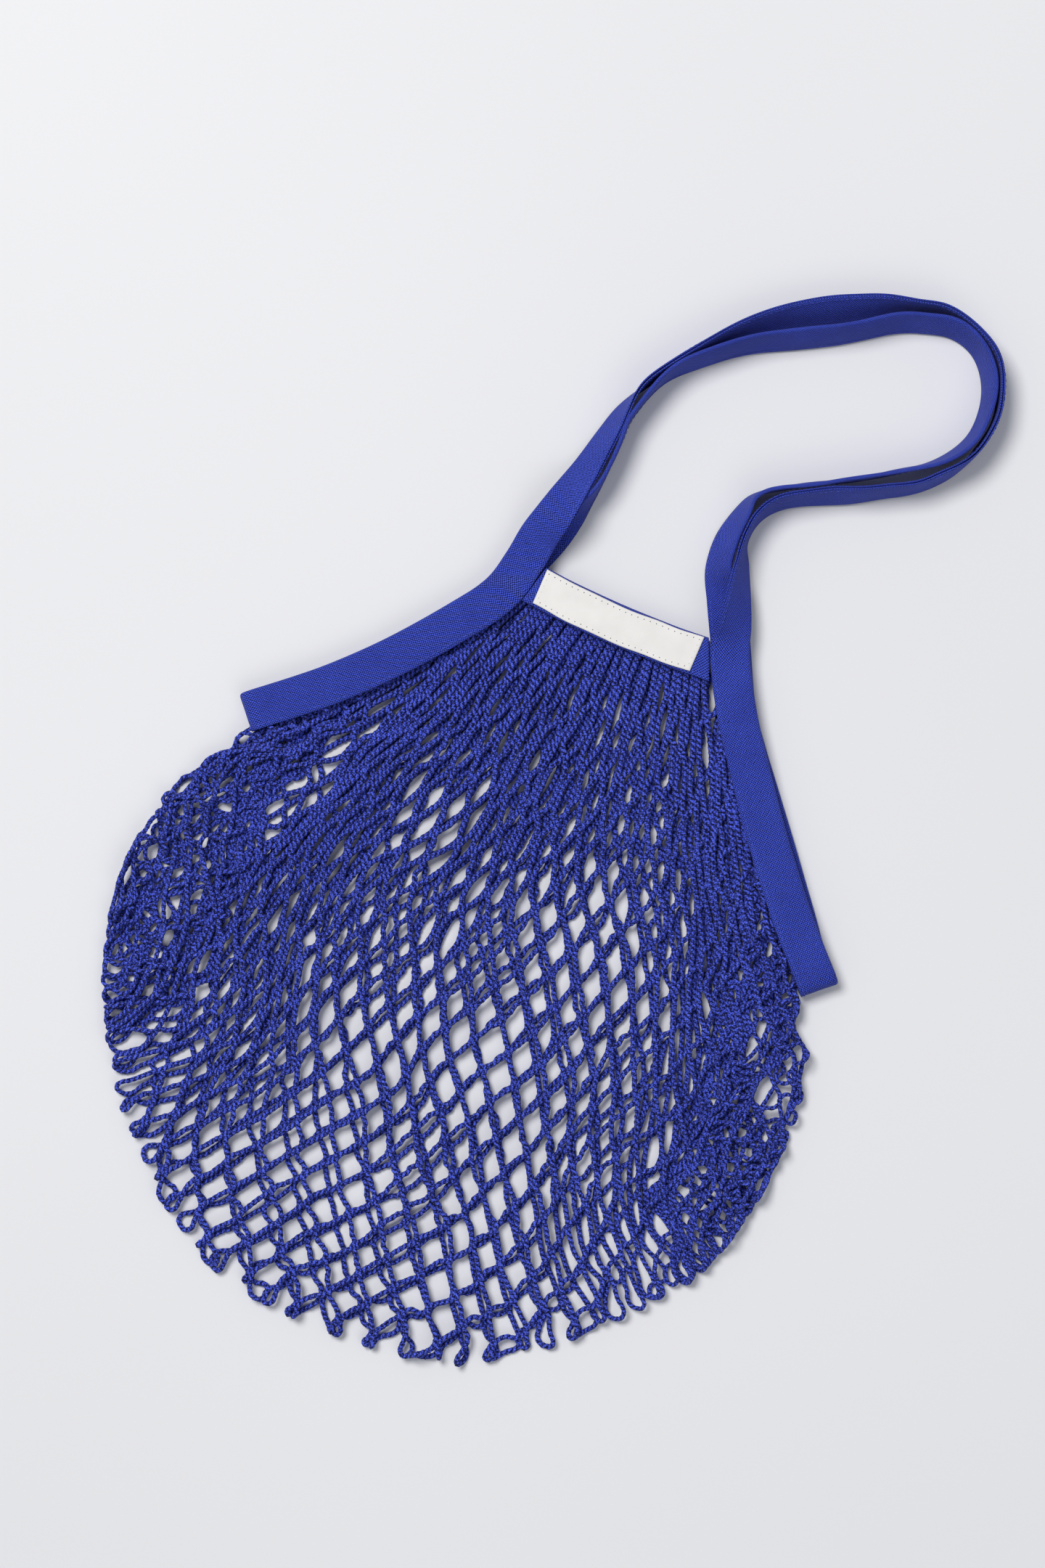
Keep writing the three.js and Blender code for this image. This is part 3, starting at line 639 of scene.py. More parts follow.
def patch_material():
    """Smooth cream cotton with a fine weave."""
    n = Nodes("cream_patch")
    color = n.ramp(n.noise(scale=70.0, detail=3.0), PATCH_CREAM)
    return n.finish(color, n.noise(scale=1600.0), strength=0.2, distance=0.15, roughness=0.75, sheen=0.1)


def thread_material(name, colors, roughness):
    """Sewing thread, with a fine grain."""
    n = Nodes(name)
    grain = n.noise(scale=900.0, detail=2.0)
    color = n.ramp(grain, colors)
    return n.finish(color, grain, strength=0.2, distance=0.1, roughness=roughness, sheen=0.1)


def floor_material():
    """A pale surface of nearly one tone."""
    n = Nodes("floor")
    tone = n.noise(scale=2.0)
    color = n.ramp(tone, FLOOR_PALE, low=0.2, high=0.8)
    return n.finish(color, tone, strength=0.0, distance=0.1, roughness=0.9, sheen=0.0)


# Canvas

def tape_frames(rows, stands_on_fold, places):
    """Fold line, way across, way up through the canvas and way along, at places of a tape's table."""
    here = between(rows, places, STEADY_FROM)
    ahead = between(rows, places + TANGENT_REACH, STEADY_FROM)
    behind = between(rows, places - TANGENT_REACH, STEADY_FROM)
    run = unit(ahead[:, :3] - behind[:, :3])
    inward = unit(np.stack([run[:, 1], -run[:, 0], 0 * run[:, 0]], 1))
    tilt = np.radians(here[:, 3])[:, None]
    across = inward * np.cos(tilt) + UP * np.sin(tilt)
    fold = here[:, :3].copy()
    if not stands_on_fold:
        fold -= across * TAPE_WIDTH
    return {"fold": fold, "across": across, "through": unit(np.cross(across, run)), "run": run,
            "grip": np.clip(here[:, 4], 0, 1)}


def even_places(rows, step):
    """Places of a table that lie a step apart along its line."""
    fine = np.linspace(0, len(rows) - 1, TABLE_STEPS * len(rows))
    run = lengths(between(rows, fine, STEADY_FROM)[:, :3])
    count = max(2, int(round(run[-1] / step)))
    return np.interp(np.linspace(0, run[-1], count + 1), run, fine)


def swung(v, axis, angle):
    """A direction turned about an axis."""
    return (v * math.cos(angle) + np.cross(axis, v) * math.sin(angle)
            + axis * np.dot(axis, v) * (1 - math.cos(angle)))


def turned_under(frames, end, way):
    """A tape's end in half a turn about a line across it, midway between the two layers."""
    pivot = frames["fold"][end].copy()
    pivot[2] = (FRONT_LEVEL + BACK_LEVEL) / 2
    axis = frames["across"][end]
    turned = {key: np.repeat(value[end][None], TURN_STEPS, axis=0) for key, value in frames.items()}
    for i in range(TURN_STEPS):
        angle = way * math.pi * (i + 1) / TURN_STEPS
        turned["fold"][i] = pivot + swung(frames["fold"][end] - pivot, axis, angle)
        turned["through"][i] = swung(frames["through"][end], axis, angle)
    return turned


def joined(*groups):
    return {key: np.concatenate([g[key] for g in groups]) for key in groups[0]}


def turned_round(frames):
    return {key: value[::-1] for key, value in frames.items()}


def front_tape_frames():
    frames = tape_frames(FRONT_TAPE, True, even_places(FRONT_TAPE, TAPE_STEP))
    return joined(turned_round(turned_under(frames, 0, 1)), frames, turned_under(frames, -1, -1))


def back_tape_frames():
    frames = tape_frames(BACK_TAPE, False, even_places(BACK_TAPE, TAPE_STEP))
    frames["fold"][0] += frames["run"][0] * END_GAP
    frames["fold"][-1] -= frames["run"][-1] * END_GAP
    return frames


def band_frames(rows, level):
    """Frames of a band, which lies flat and needs no way along."""
    count = BAND_STEPS + 1
    row = between(rows, np.linspace(0, len(rows) - 1, count))
    fold = np.column_stack([row[:, :2], np.full(count, level)])
    across = np.column_stack([(row[:, 2:] - row[:, :2]) / TAPE_WIDTH, np.zeros(count)])
    return {"fold": fold, "across": across, "through": np.tile(UP, (count, 1)), "grip": np.ones(count)}


def half_thickness(frames):
    """Half the thickness of folded canvas: more where it grips the net."""
    return STRAP_THICKNESS / 2 + (BINDING - STRAP_THICKNESS) / 2 * frames["grip"]


def half_turn(steps):
    """Angles round a fold, without the two at its ends."""
    return np.linspace(-math.pi / 2, -1.5 * math.pi, steps + 1)[1:-1]


def folded_section(half):
    """Folded cloth seen along its length: places across it and heights, round both faces and the slot."""
    slot = half - CLOTH
    flat = np.linspace(TAPE_WIDTH - EDGE_ROUND, half, FLAT_STEPS)
    groove = GROOVE_DEPTH * np.exp(-((flat - (TAPE_WIDTH - STITCH_INSET)) / GROOVE_REACH) ** 2)
    turn = half_turn(FOLD_STEPS)
    slot_flat = np.linspace(TAPE_WIDTH - EDGE_ROUND, half, SLOT_STEPS)
    slot_turn = half_turn(SLOT_FOLD_STEPS)
    edge = np.array([[TAPE_WIDTH, (half + slot) / 2]])
    return np.vstack([
        np.stack([flat, -half + groove], 1),
        np.stack([half + half * np.cos(turn), half * np.sin(turn)], 1),
        np.stack([flat, half - groove], 1)[::-1],
        edge,
        np.stack([slot_flat, 0 * slot_flat + slot], 1),
        np.stack([half + slot * np.cos(slot_turn), slot * np.sin(slot_turn)], 1)[::-1],
        np.stack([slot_flat, 0 * slot_flat - slot], 1)[::-1],
        edge * [1, -1],
    ])


def canvas_part(frames, seed, sway):
    """A folded canvas strip along its frames, with soft unevenness."""
    section = np.stack([folded_section(half) for half in half_thickness(frames)])
    run = lengths(frames["fold"])
    width = section[..., 0]
    bulge = sway * waves(np.repeat(run[:, None], width.shape[1], 1), width, seed, SWAY_LENGTH)
    points = (frames["fold"][:, None]
              + frames["across"][:, None] * width[..., None]
              + frames["through"][:, None] * (section[..., 1] + bulge)[..., None])
    points[..., 2] = np.maximum(points[..., 2], 0.0)
    ring = np.vstack([section[0], section[0][:1]])
    return loft(points, run, lengths(ring))


# Sewing

def stitch_parts(start, end, up, width, height):
    """Small stitches, each a flat bead from its start to its end."""
    side = unit(np.cross(up, unit(end - start)))
    shares, swell = np.array(STITCH_FORM).T
    angles = np.linspace(0, 2 * np.pi, STITCH_SIDES + 1)[:-1]
    parts = []
    for a, b, s, z in zip(start, end, side, up):
        centre = a + shares[:, None] * (b - a)
        lift = height * (swell - STITCH_SINK)[:, None, None] * z
        ring = (np.cos(angles)[None, :, None] * s * width / 2
                + np.sin(angles)[None, :, None] * z * height / 2) * swell[:, None, None]
        points = centre[:, None] + ring + lift
        parts.append(loft(points, shares * STITCH_LENGTH, np.linspace(0, 1, STITCH_SIDES + 1)))
    return parts


def tape_stitches(frames):
    """The sewing along a tape's open edge, on both faces."""
    count = int(lengths(frames["fold"])[-1] / STITCH_PITCH)
    half = half_thickness(frames)
    parts = []
    for face in (1, -1):
        seat = (frames["fold"] + frames["across"] * (TAPE_WIDTH - STITCH_INSET)
                + frames["through"] * (face * (half - GROOVE_DEPTH))[:, None])
        run = lengths(seat)
        at = (np.arange(count) + 0.5) / count * run[-1]
        start = sampled(seat, run, at - STITCH_LENGTH / 2)
        end = sampled(seat, run, at + STITCH_LENGTH / 2)
        up = unit(sampled(frames["through"], run, at) * face)
        parts += stitch_parts(start, end, up, STITCH_WIDTH, STITCH_HEIGHT)
    return parts


# Label

def label_y(x, down):
    """How far up the bag a place of the patch lies: it sags with the band and its edges wave a little."""
    sag = LABEL_SAG * (1 - (2 * x / LABEL_LENGTH) ** 2)
    return LABEL_HEIGHT / 2 - sag - down + LABEL_WAVE * waves(x, down, LABEL_WAVE_SEED, LABEL_WAVE_LENGTH)


def label_swell(x, down):
    """How far the face of the patch rises or falls."""
    return LABEL_SWELL * waves(x, down, LABEL_SWELL_SEED, LABEL_SWELL_LENGTH)


def label_section():
    """The patch seen along its length: places down from its upper edge and heights, round both faces."""
    edge, edge_rise = np.array(LABEL_EDGE).T
    flat = np.linspace(LABEL_FLAT_FROM, LABEL_HEIGHT - LABEL_FLAT_FROM, LABEL_ROWS)
    down = np.concatenate([edge, flat, LABEL_HEIGHT - edge[::-1]])
    rise = np.concatenate([edge_rise, np.ones(LABEL_ROWS), edge_rise[::-1]]) * LABEL_THICKNESS
    inset = np.minimum(down, LABEL_HEIGHT - down)
    rise = rise - LABEL_GROOVE_DEPTH * np.exp(-((inset - LABEL_STITCH_INSET) / LABEL_GROOVE_REACH) ** 2)
    under = down[::-1][1:-1]
    return np.concatenate([np.stack([down, rise], 1), np.stack([under, 0 * under], 1)])


def label_part():
    """The patch: a thin cloth with turned-in edges that follows the sag of the band."""
    half = LABEL_LENGTH / 2
    columns = np.linspace(-half + LABEL_END_STEP, half - LABEL_END_STEP, LABEL_COLUMNS)
    x = np.concatenate([[-half], columns, [half]])
    thick = np.ones(len(x))
    thick[[0, -1]] = LABEL_END_RISE
    section = label_section()
    down, rise = section.T
    sections = []
    for column, share in zip(x, thick):
        across = np.full(len(section), column)
        height = np.where(rise > 0, rise * share + label_swell(across, down) * share, 0)
        height = LABEL_BOTTOM + np.clip(height, 0, None)
        sections.append(np.stack([across, label_y(across, down), height], 1))
    ring = np.vstack([section, section[:1]])
    return loft(np.array(sections)[::-1], x, lengths(ring))


def label_stitch_ends():
    """Both ends of each stitch round the patch."""
    half = LABEL_LENGTH / 2 - LABEL_STITCH_INSET
    low, high = LABEL_STITCH_INSET, LABEL_HEIGHT - LABEL_STITCH_INSET
    corners = np.array([(-half, low), (half, low), (half, high), (-half, high), (-half, low)])
    run = lengths(corners)
    count = int(run[-1] / LABEL_STITCH_PITCH)
    at = np.arange(count) / count * run[-1]
    place = sampled(corners, run, at)
    way = unit(sampled(corners, run, (at + LABEL_STITCH_AHEAD) % run[-1]) - place)

    def on_face(p):
        x, down = p.T
        height = LABEL_BOTTOM + LABEL_THICKNESS - LABEL_STITCH_DEPTH + label_swell(x, down)
        return np.stack([x, label_y(x, down), height], 1)

    return on_face(place - way * LABEL_STITCH_HALF), on_face(place + way * LABEL_STITCH_HALF)


# Paths of the cords

def mouth_points(rows, stands_on_fold, joins, band, level, shift):
    """Where the cords of a layer start: a little inside the open edge of the canvas."""
    down = ((np.arange(SLOPE_CORDS) + 0.5) / SLOPE_CORDS) ** SLOPE_CROWDING

    def slope(first, second):
        f = tape_frames(rows, stands_on_fold, np.linspace(first, second, PATH_POINTS))
        edge = f["fold"] + f["across"] * (TAPE_WIDTH - TUCK)
        return along(edge[:, :2], down)

    middle = CORDS - 2 * SLOPE_CORDS
    fine = between(band, np.linspace(0, len(band) - 1, PATH_POINTS))
    open_edge = fine[:, :2] + (fine[:, 2:] - fine[:, :2]) * (1 - TUCK / TAPE_WIDTH)
    points = np.vstack([
        slope(joins[0], CORNER_ROWS)[::-1],
        along(open_edge, (np.arange(middle) + 0.5 + shift) / middle),
        slope(joins[1], len(rows) - 1 - CORNER_ROWS),
    ])
    return np.column_stack([points, np.full(CORDS, level)])


def paths_from(mouth, rim):
    """Paths of a layer's cords, from the mouth past the guide points to the rim."""
    guides = np.array(GUIDES)
    guide = between(guides[:, 1:], np.interp(SHARES, guides[:, 0], np.arange(len(guides))))
    ends = along(rim, guide[:, 0] / lengths(rim)[-1])
    ends = ends + RIM_INSET * unit(RIM_CENTRE - ends)
    passed = guide[:, 1:].reshape(CORDS, -1, 2)
    rows = np.concatenate([mouth[:, None, :2], passed, ends[:, None]], axis=1)
    return np.stack([along(smooth_line(row), np.linspace(0, 1, PATH_POINTS)) for row in rows])


def spread_out(curves):
    """Opens the net across its cords."""
    curves = curves.copy()
    for cx, cy, reach_x, reach_y, strength in SPREADS:
        dx, dy = curves[..., 0] - cx, curves[..., 1] - cy
        curves[..., 0] += strength * dx * np.exp(-(dx / reach_x) ** 2 - (dy / reach_y) ** 2)
    return curves


def drawn_in(curves):
    """Draws the sides of the back layer in, so that the front one alone lies at the rim."""
    curves = curves.copy()
    x = curves[..., 0]
    outer = rising(np.abs(x), *BACK_DRAW_SIDE)
    x -= BACK_DRAW * np.sign(x) * outer * np.sin(np.linspace(0, np.pi, PATH_POINTS))
    return curves


def rows_along(curves):
    """Rows counted down each path: they are shorter where the cords lie further apart."""
    run = unit(np.gradient(curves, axis=1))
    gap = np.gradient(curves, axis=0)
    apart = np.abs(run[..., 0] * gap[..., 1] - run[..., 1] * gap[..., 0])
    rise = np.sqrt(np.maximum(STRAND ** 2 - apart ** 2, (LEAST_OPEN * STRAND) ** 2))
    step = np.linalg.norm(np.diff(curves, axis=1), axis=2)
    pitch = KISS + (rise[:, :-1] + rise[:, 1:]) / 2
    return np.concatenate([np.zeros((CORDS, 1)), np.cumsum(step / pitch, axis=1)], axis=1)


def stepped(curves, counted, rows):
    """Points of a layer's cords at even steps of their rows, and how far down each one is."""
    rows = rows[:, None]
    row = np.maximum(np.arange(FOLD + 1)[None] / STEPS - (HALF_ROWS - rows), 0)
    place = row + (counted[:, -1:] - rows) * (row / rows) ** RIM_GIVE
    points = np.stack([sampled(curve, count, at) for curve, count, at in zip(curves, counted, place)])
    return points, place / counted[:, -1:]


def warped(points, share, seed, amount):
    """Uneven lie of a layer, fading out at its edges."""
    x, y = points[..., 0], points[..., 1]
    out = np.hypot(x / OVAL[0], (y - OVAL_CENTRE) / OVAL[1])
    inside = np.clip((1 - out) * OVAL_FADE, 0, 1) * inner(share, *WARP_INNER)
    down = WARP_DOWN * waves(x, y, seed + WARP_DOWN_SHIFT, WARP_LENGTH)
    shift = amount * np.stack([waves(x, y, seed, WARP_LENGTH), down], -1)
    fine = np.stack([waves(x, y, seed + more, FINE_WARP_LENGTH) for more in FINE_WARP_SHIFTS], -1)
    return points + inside[..., None] * (shift + FINE_WARP * fine)


def drawn_together(points):
    """How far the net is drawn together under the mouth, 0 to 1. It reaches lower on the left."""
    x, y = points[..., 0], points[..., 1]
    middle = np.clip((DRAWN_SIDE - np.abs(x)) / DRAWN_SIDE_REACH, 0, 1)
    return rising(y - DRAWN_LEAN * x, *DRAWN) * middle


def heaped(share):
    """How far a cord belongs to the heap at its side, by its share across the net."""
    return np.clip((HEAP_SHARE - np.minimum(share, 1 - share)) / HEAP_FADE, 0, 1)


def net_layer(curves, seed, unevenness, phase, slack):
    """Points of a layer from the mouth to the rim, with the height of its pleats, and its cords' rows."""
    counted = (1 + slack * np.interp(SHARES, SLACK_AT, SLACK)[:, None]) * rows_along(curves)
    rows = np.clip(np.rint(counted[:, -1]), FEWEST_ROWS, HALF_ROWS).astype(int)
    points, share = stepped(curves, counted, rows)
    points = warped(points, share, seed, unevenness)
    x, y = points[..., 0], points[..., 1]
    heap = heaped(SHARES)[:, None] * inner(share, *HEAP_INNER)
    swing = 2 * np.pi * (np.arange(CORDS)[:, None] / PLEAT_CORDS + share) + phase
    swing = swing + waves(x, y, PLEAT_SEED, PLEAT_STRAY)
    pleat = PLEAT * (np.sin(swing) - PLEAT_INWARD)[..., None] * unit(points - RIM_CENTRE)
    crumple = np.stack([waves(x, y, way, CRUMPLE_LENGTH) for way in CRUMPLE_SEEDS], -1)
    points = points + heap[..., None] * (pleat + CRUMPLE * crumple)
    height = heap * PLEAT_HEIGHT * np.cos(swing)
    return np.concatenate([points, height[..., None]], axis=-1), rows


def wander(draw, spread):
    """Small wander of each cord by itself, smooth along its length."""
    rough = draw.normal(0, 1, (CORDS, POINTS + WANDER_REACH))
    kernel = np.hanning(WANDER_REACH + 2)[1:-1]
    smooth = np.stack([np.convolve(row, kernel / np.linalg.norm(kernel), "valid") for row in rough])
    return spread * smooth[:, :POINTS]


def net_target(front, back, draw):
    """Where the cords are drawn to: down the front layer, round the rim and up the back one."""
    under = rising(np.arange(POINTS), FOLD - UNDER_FROM, UNDER_STEPS)
    under = under * under * (3 - 2 * under)
    target = np.zeros((CORDS, POINTS, 3))
    target[:, :FOLD + 1, :2] = front[..., :2]
    target[:, FOLD:, :2] = back[:, ::-1, :2]
    target[..., 0] += wander(draw, WANDER)
    target[..., 2] = FRONT_NET + (BACK_NET - FRONT_NET) * under + np.abs(wander(draw, WANDER_HEIGHT))
    target[:, :FOLD, 2] += front[:, :FOLD, 2]
    target[:, FOLD:, 2] += BACK_PLEAT * back[:, ::-1, 2]
    target[..., 2] += waves(target[..., 0], target[..., 1], LIE_SEED, LIE_LENGTH)
    return target


# Lie of the net

def polar(offset):
    """Directions and lengths of offsets."""
    return np.arctan2(offset[..., 1], offset[..., 0]), np.hypot(offset[..., 0], offset[..., 1])


def kissing_points(rows):
    """Points that are knitted together: the left cord, its point, and its right neighbour's point."""
    pairs = []
    for j in range(CORDS - 1):
        for layer, layer_rows in enumerate(rows):
            two = layer_rows[j:j + 2]
            start = HALF_ROWS - two
            for i in range(1, min(two)):
                if (i + j + layer) % 2 == 0:
                    a, b = start + i if layer == 0 else 2 * HALF_ROWS - 1 - start - i
                    pairs += [(j, a * STEPS + o, b * STEPS + o) for o in (0, 1)]
    return np.array(pairs).T


def seam_rows(rows):
    """Rows that join the two layers at the sides: the outermost cord, its front row and its back row."""
    joins = []
    for j in (0, CORDS - 1):
        front, back = rows[0][j], rows[1][j]
        for i in range(SEAM_FROM, min(front, back), SEAM_EVERY):
            joins.append((j, HALF_ROWS - front + i, HALF_ROWS + back - i))
    return np.array(joins).T


class Knitting:
    """The cords while they find their lie. Points that a short cord doesn't use stay in the canvas."""

    def __init__(self, target, rows, mouths, rim, draw):
        k = np.arange(POINTS)
        first_front, first_back = ((HALF_ROWS - r)[:, None] * STEPS for r in rows)
        from_mouth = np.where(k < FOLD, k - first_front, POINTS - 1 - k - first_back)
        from_rim = np.abs(k - FOLD)[None]
        self.target = target
        self.net = target + draw.normal(0, START_NOISE, target.shape)
        self.loose = heaped(SHARES)[:, None]
        self.used = from_mouth >= 0
        self.in_canvas = (from_mouth <= 0)[..., None]
        self.mouth = np.where((k < FOLD)[None, :, None], mouths[0][:, None], mouths[1][:, None])
        self.live = self.used[:, :-1] & self.used[:, 1:]
        self.rest = np.where(self.live, np.tile([KISS] + [STRAND_STEP] * (STEPS - 1), 2 * HALF_ROWS), 0)
        stiffness = STIFFNESS + (LOOSE_STIFFNESS - STIFFNESS) * self.loose
        self.stiffness = np.where(from_rim[:, 1:-1] < RIM_REACH, RIM_STIFFNESS, stiffness)
        pull = np.where((from_mouth < MOUTH_REACH) | (from_rim < RIM_REACH), EDGE_PULL, PULL)
        self.pull = np.where(from_rim < RIM_LOOP, RIM_PULL, pull)[..., None]
        self.ease = 1 + EASE * draw.uniform(0, 1, (CORDS, 2 * HALF_ROWS)) ** EASE_POWER
        self.kisses = kissing_points(rows)
        together = drawn_together(target[self.kisses[0], self.kisses[1]])
        self.kiss_gap = (KISS_GAP + (TOP_KISS_GAP - KISS_GAP) * together)[:, None]
        self.seam = seam_rows(rows)
        self.rim = polar(rim - RIM_CENTRE)

    def settle(self):
        """Brings the strands nearer to the length that they span, less so in the heaps."""
        ends = self.net[:, STRANDS[:, -1] + 1] - self.net[:, STRANDS[:, 0]]
        span = np.linalg.norm(ends, axis=2) / (STEPS - 1)
        settled = np.minimum(self.ease * span, SETTLED_MOST * STRAND / (STEPS - 1))[..., None]
        kept = LEAST_KEPT + (1 - LEAST_KEPT) * self.loose[..., None]
        rest = kept * self.rest[:, STRANDS] + (1 - kept) * settled
        self.rest[:, STRANDS] = np.where(self.live[:, STRANDS], rest, 0)
        self.bend = self.stiffness * (self.rest[:, :-1] + self.rest[:, 1:])

    def draw_on(self):
        """Draws the cords towards their paths and heights, and smooths them."""
        net, target = self.net, self.target
        net[..., :2] += self.pull * (target - net)[..., :2]
        net[..., 2] += (HEIGHT_PULL - LOOSE_HEIGHT * self.loose) * (target - net)[..., 2]
        net[:, 1:-1] += SMOOTHING * ((net[:, :-2] + net[:, 2:]) / 2 - net[:, 1:-1])

    def hold(self, a, b, length, least=False):
        """Brings pairs of points to a length, each by half, or only apart where it is the least one."""
        gap = self.net[b] - self.net[a]
        size = np.linalg.norm(gap, axis=-1, keepdims=True) + TINY
        move = 0.5 * (size - length) / size
        if least:
            move = np.minimum(move, 0)
        self.net[a] += move * gap
        self.net[b] -= move * gap

    def keep_knit(self):
        """Keeps lengths, bends, kisses and side seams. The pairs of one call share no point."""
        for reach, length, least in ((1, self.rest, False), (2, self.bend, True)):
            for start in range(2 * reach):
                a = np.arange(start, POINTS - reach, 2 * reach)
                self.hold(np.s_[:, a], np.s_[:, a + reach], length[:, a, None], least)
        left, at_left, at_right = self.kisses
        self.hold((left, at_left), (left + 1, at_right), self.kiss_gap)
        cord, front, back = self.seam
        for o in (0, 1):
            self.hold((cord, front * STEPS + o), (cord, back * STEPS + 1 - o), SEAM_GAP)

    def keep_inside(self):
        """Keeps the cords inside the rim, above the surface, and in the canvas at the mouth."""
        net = self.net
        offset = net[..., :2] - RIM_CENTRE
        turn, far = polar(offset)
        limit = np.interp(turn, *self.rim, period=2 * np.pi) - CORD_RADIUS
        limit = np.where(net[..., 1] > RIM_OPEN_ABOVE, np.inf, limit)
        net[..., :2] = RIM_CENTRE + offset * np.minimum(1, limit / np.maximum(far, TINY))[..., None]
        net[..., 2] = np.clip(net[..., 2], CORD_RADIUS, HIGHEST_NET)
        self.net = np.where(self.in_canvas, self.mouth, net)

    def run(self):
        """Lets the cords find their lie. Returns the points that each one uses."""
        for lap in range(ROUNDS):
            if lap % SETTLE_EVERY == 0:
                self.settle()
            self.draw_on()
            for _ in range(PASSES):
                self.keep_knit()
            self.keep_inside()
        return [cord[used] for cord, used in zip(self.net, self.used)]


def lay_net():
    """Lets the knitted cords find their lie between the mouth and the rim. Returns lines of points."""
    draw = np.random.default_rng(SEED)
    rim = smooth_line(RIM)
    front_mouth = mouth_points(FRONT_TAPE, True, FRONT_JOINS, FRONT_BAND, FRONT_LEVEL, 0.0)
    back_mouth = mouth_points(BACK_TAPE, False, BACK_JOINS, BACK_BAND, BACK_LEVEL, BACK_SHIFT)
    front, front_rows = net_layer(spread_out(paths_from(front_mouth, rim)), *FRONT_LAYER)
    back, back_rows = net_layer(drawn_in(paths_from(back_mouth, rim)), *BACK_LAYER)
    target = net_target(front, back, draw)
    return Knitting(target, (front_rows, back_rows), (front_mouth, back_mouth), rim, draw).run()


# Cords

def cord_lines(net):
    """Evenly stepped lines of all cords, finer in front than behind."""
    lines = []
    for cord in net:
        steps = len(cord) - 1
        fine = between(cord, np.linspace(0, steps, CORD_FINENESS * steps + 1))
        run = lengths(fine)
        middle = run[len(run) // 2]
        front = np.linspace(0, middle, int(middle / FRONT_RING))
        back = np.linspace(middle, run[-1], int((run[-1] - middle) / BACK_RING))[1:]
        lines.append(sampled(fine, run, np.concatenate([front, back])))
    return lines


def cord_radius(points):
    """Radius of a cord along its line: bulkier under the mouth, finer in the heaps."""
    side = rising(np.abs(points[..., 0]), *HEAP_SIDE)
    high = drawn_together(points)
    return CORD_RADIUS + (HEAP_RADIUS - CORD_RADIUS) * side + (TOP_RADIUS - CORD_RADIUS) * high


def carried_sides(line, run):
    """A sideways direction at each point of a line, carried along it without twist."""
    side = np.cross(run[0], UP)
    side = side / (np.linalg.norm(side) + TINY)
    sides = np.empty_like(line)
    for i, way in enumerate(run):
        side = side - way * np.dot(side, way)
        side = side / (np.linalg.norm(side) + TINY)
        sides[i] = side
    return sides


def cord_part(line, draw):
    """One knitted cord: a tube whose bumps wind round it."""
    run = unit(np.gradient(line, axis=0))
    side = carried_sides(line, run)
    up = np.cross(side, run)
    s = lengths(line)
    angle = np.arange(CORD_SIDES) * 2 * np.pi / CORD_SIDES
    phase = draw.uniform(0, 2 * np.pi)
    bump = np.cos(TWIST_ROWS * angle[None] - 2 * np.pi * s[:, None] / TWIST_PITCH + phase)
    rough = draw.normal(0, CORD_ROUGHNESS, bump.shape)
    radius = cord_radius(line)[:, None] * (1 + TWIST_DEPTH * bump + rough)
    points = (line[:, None] + side[:, None] * (radius * np.cos(angle))[..., None]
              + up[:, None] * (radius * np.sin(angle))[..., None])
    points[..., 2] = np.maximum(points[..., 2], 0.0)
    return loft(points, s - phase / (2 * np.pi) * TWIST_PITCH, np.arange(CORD_SIDES + 1) / CORD_SIDES)


# Camera and stage

def build_camera():
    data = bpy.data.cameras.new("camera")
    data.lens = LENS
    data.sensor_width = SENSOR
    data.clip_end = CLIP_END * MM
    camera = placed("camera", data)
    distance = PIXEL * IMAGE_HEIGHT * LENS / SENSOR
    camera.location = (VIEW_CENTRE[0] * MM, VIEW_CENTRE[1] * MM, (distance + VIEW_LEVEL) * MM)
    camera.rotation_euler = (0, 0, VIEW_TURN)
    bpy.context.scene.camera = camera


def build_floor():
    corners = [(x * FLOOR_HALF * MM, y * FLOOR_HALF * MM, FLOOR_LEVEL * MM)
               for x, y in ((-1, -1), (1, -1), (1, 1), (-1, 1))]
    mesh = bpy.data.meshes.new("floor")
    mesh.from_pydata(corners, [], [(0, 1, 2, 3)])
    mesh.materials.append(floor_material())
    placed("floor", mesh)


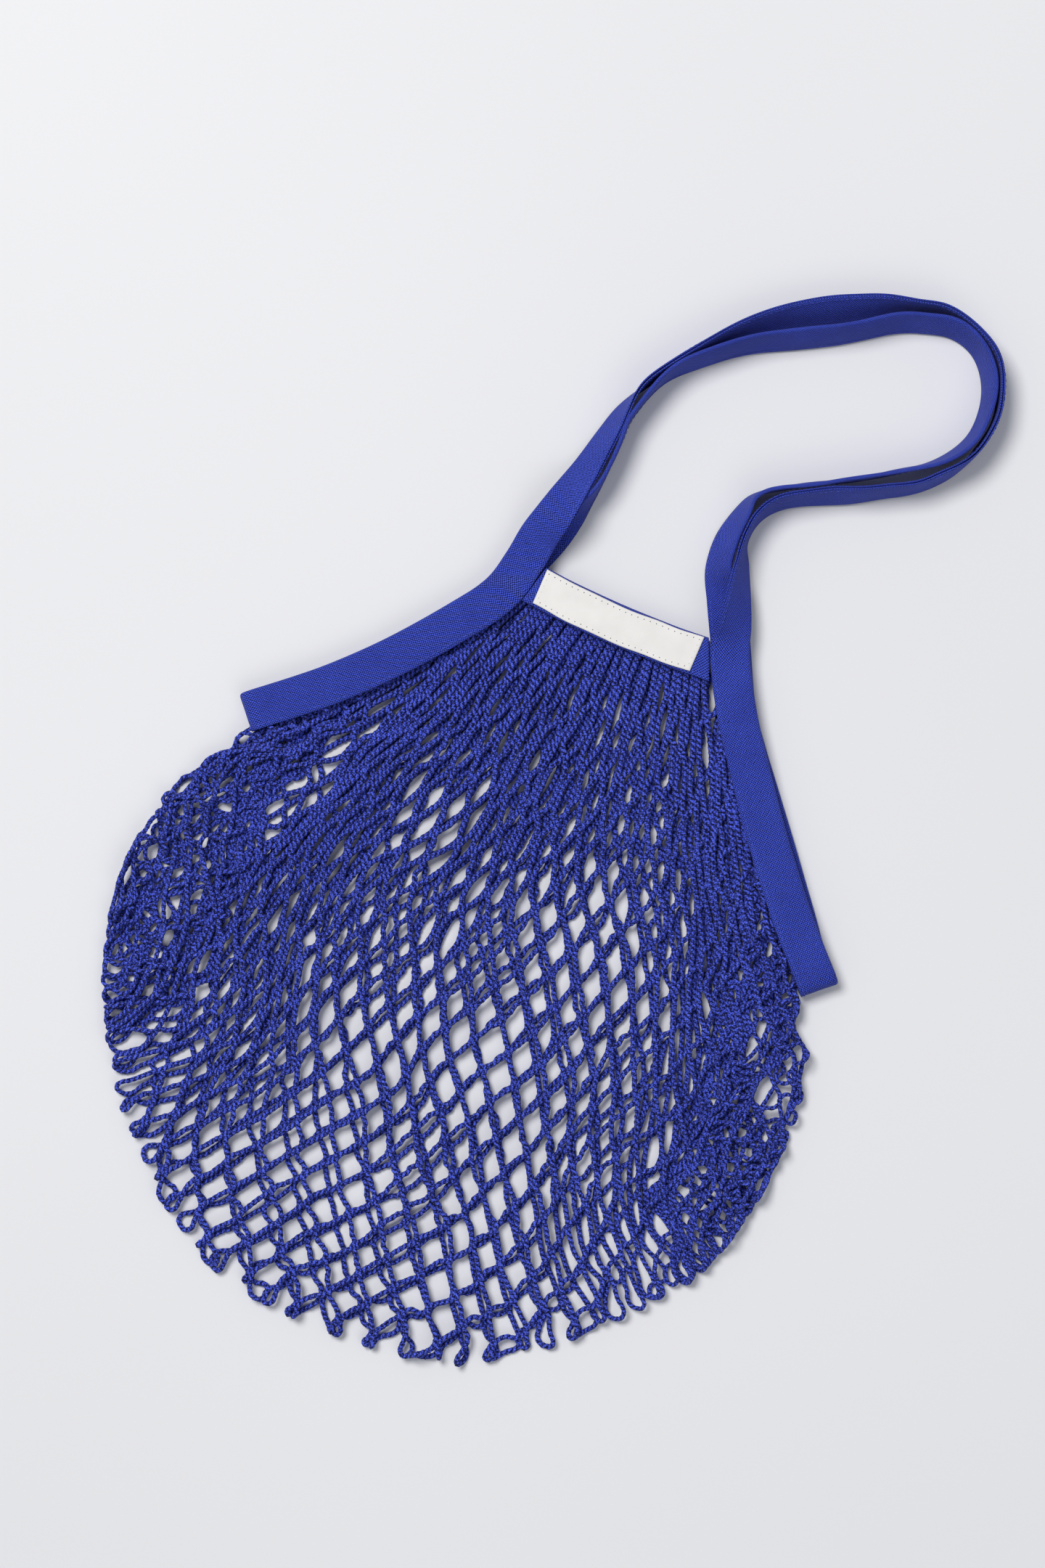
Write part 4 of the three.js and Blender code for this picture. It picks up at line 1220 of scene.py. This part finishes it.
def build_light():
    """An even pale sky and two large round lamps."""
    world = bpy.data.worlds.new("studio")
    bpy.context.scene.world = world
    world.use_nodes = True
    sky = world.node_tree.nodes["Background"]
    sky.inputs["Color"].default_value = SKY_COLOR
    sky.inputs["Strength"].default_value = SKY_STRENGTH
    middle = Vector((*VIEW_CENTRE, 0))
    for name, place, size, power, color in LIGHTS:
        data = bpy.data.lights.new(name, "AREA")
        data.shape = "DISK"
        data.size = size * MM
        data.energy = power
        data.color = color
        lamp = placed(name, data)
        lamp.location = Vector(place) * MM
        lamp.rotation_mode = "QUATERNION"
        lamp.rotation_quaternion = (middle - Vector(place)).to_track_quat("-Z", "Y")
    bpy.context.scene.view_settings.view_transform = "Standard"


# Pieces of the bag

def dress(piece, slot, *nodes):
    """Makes a piece ride with the bag and in place of the nodes; the slot is not used."""
    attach(piece, "root")
    if nodes:
        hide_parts(*nodes)
    return piece


def build_canvas():
    blue = canvas_material()
    thread = thread_material("blue_thread", THREAD_BLUE, roughness=0.8)
    strips = {
        "front_tape": front_tape_frames(),
        "back_tape": back_tape_frames(),
        "front_band": band_frames(FRONT_BAND, FRONT_LEVEL),
        "back_band": band_frames(BACK_BAND, BACK_LEVEL),
    }
    for number, (node, frames) in enumerate(strips.items()):
        is_band = node.endswith("band")
        cloth = canvas_part(frames, SEED + number, 0.0 if is_band else TAPE_SWAY)
        piece = dress(make_piece(node + "_cloth", [cloth], blue), "canvas", node)
        sewing = dress(make_piece(node + "_stitches", tape_stitches(frames), thread), "canvas")


def build_label():
    label = dress(make_piece("label_cloth", [label_part()], patch_material()), "patch", "label")
    start, end = label_stitch_ends()
    up = np.tile(UP, (len(start), 1))
    stitches = stitch_parts(start, end, up, LABEL_STITCH_WIDTH, LABEL_STITCH_HEIGHT)
    # Dark grey beads sunk in the patch: painted shade inside its needle holes.
    dark = thread_material("stitch_hole_shade", STITCH_HOLE_SHADE, roughness=0.9)
    shaded_holes = dress(make_piece("label_stitches", stitches, dark), "patch")


def build_net():
    blue = cord_material()
    lines = cord_lines(lay_net())
    draw = np.random.default_rng(CORD_SEED)
    parts = [cord_part(line, draw) for line in lines]
    for number, first in enumerate(range(0, CORDS, CORDS_PER_STRIP), 1):
        members = slice(first, first + CORDS_PER_STRIP)
        strip = dress(make_piece(f"net_strip_{number}", parts[members], blue), "cord_net", "net_body")


build_camera()
build_floor()
build_light()
build_canvas()
build_label()
build_net()
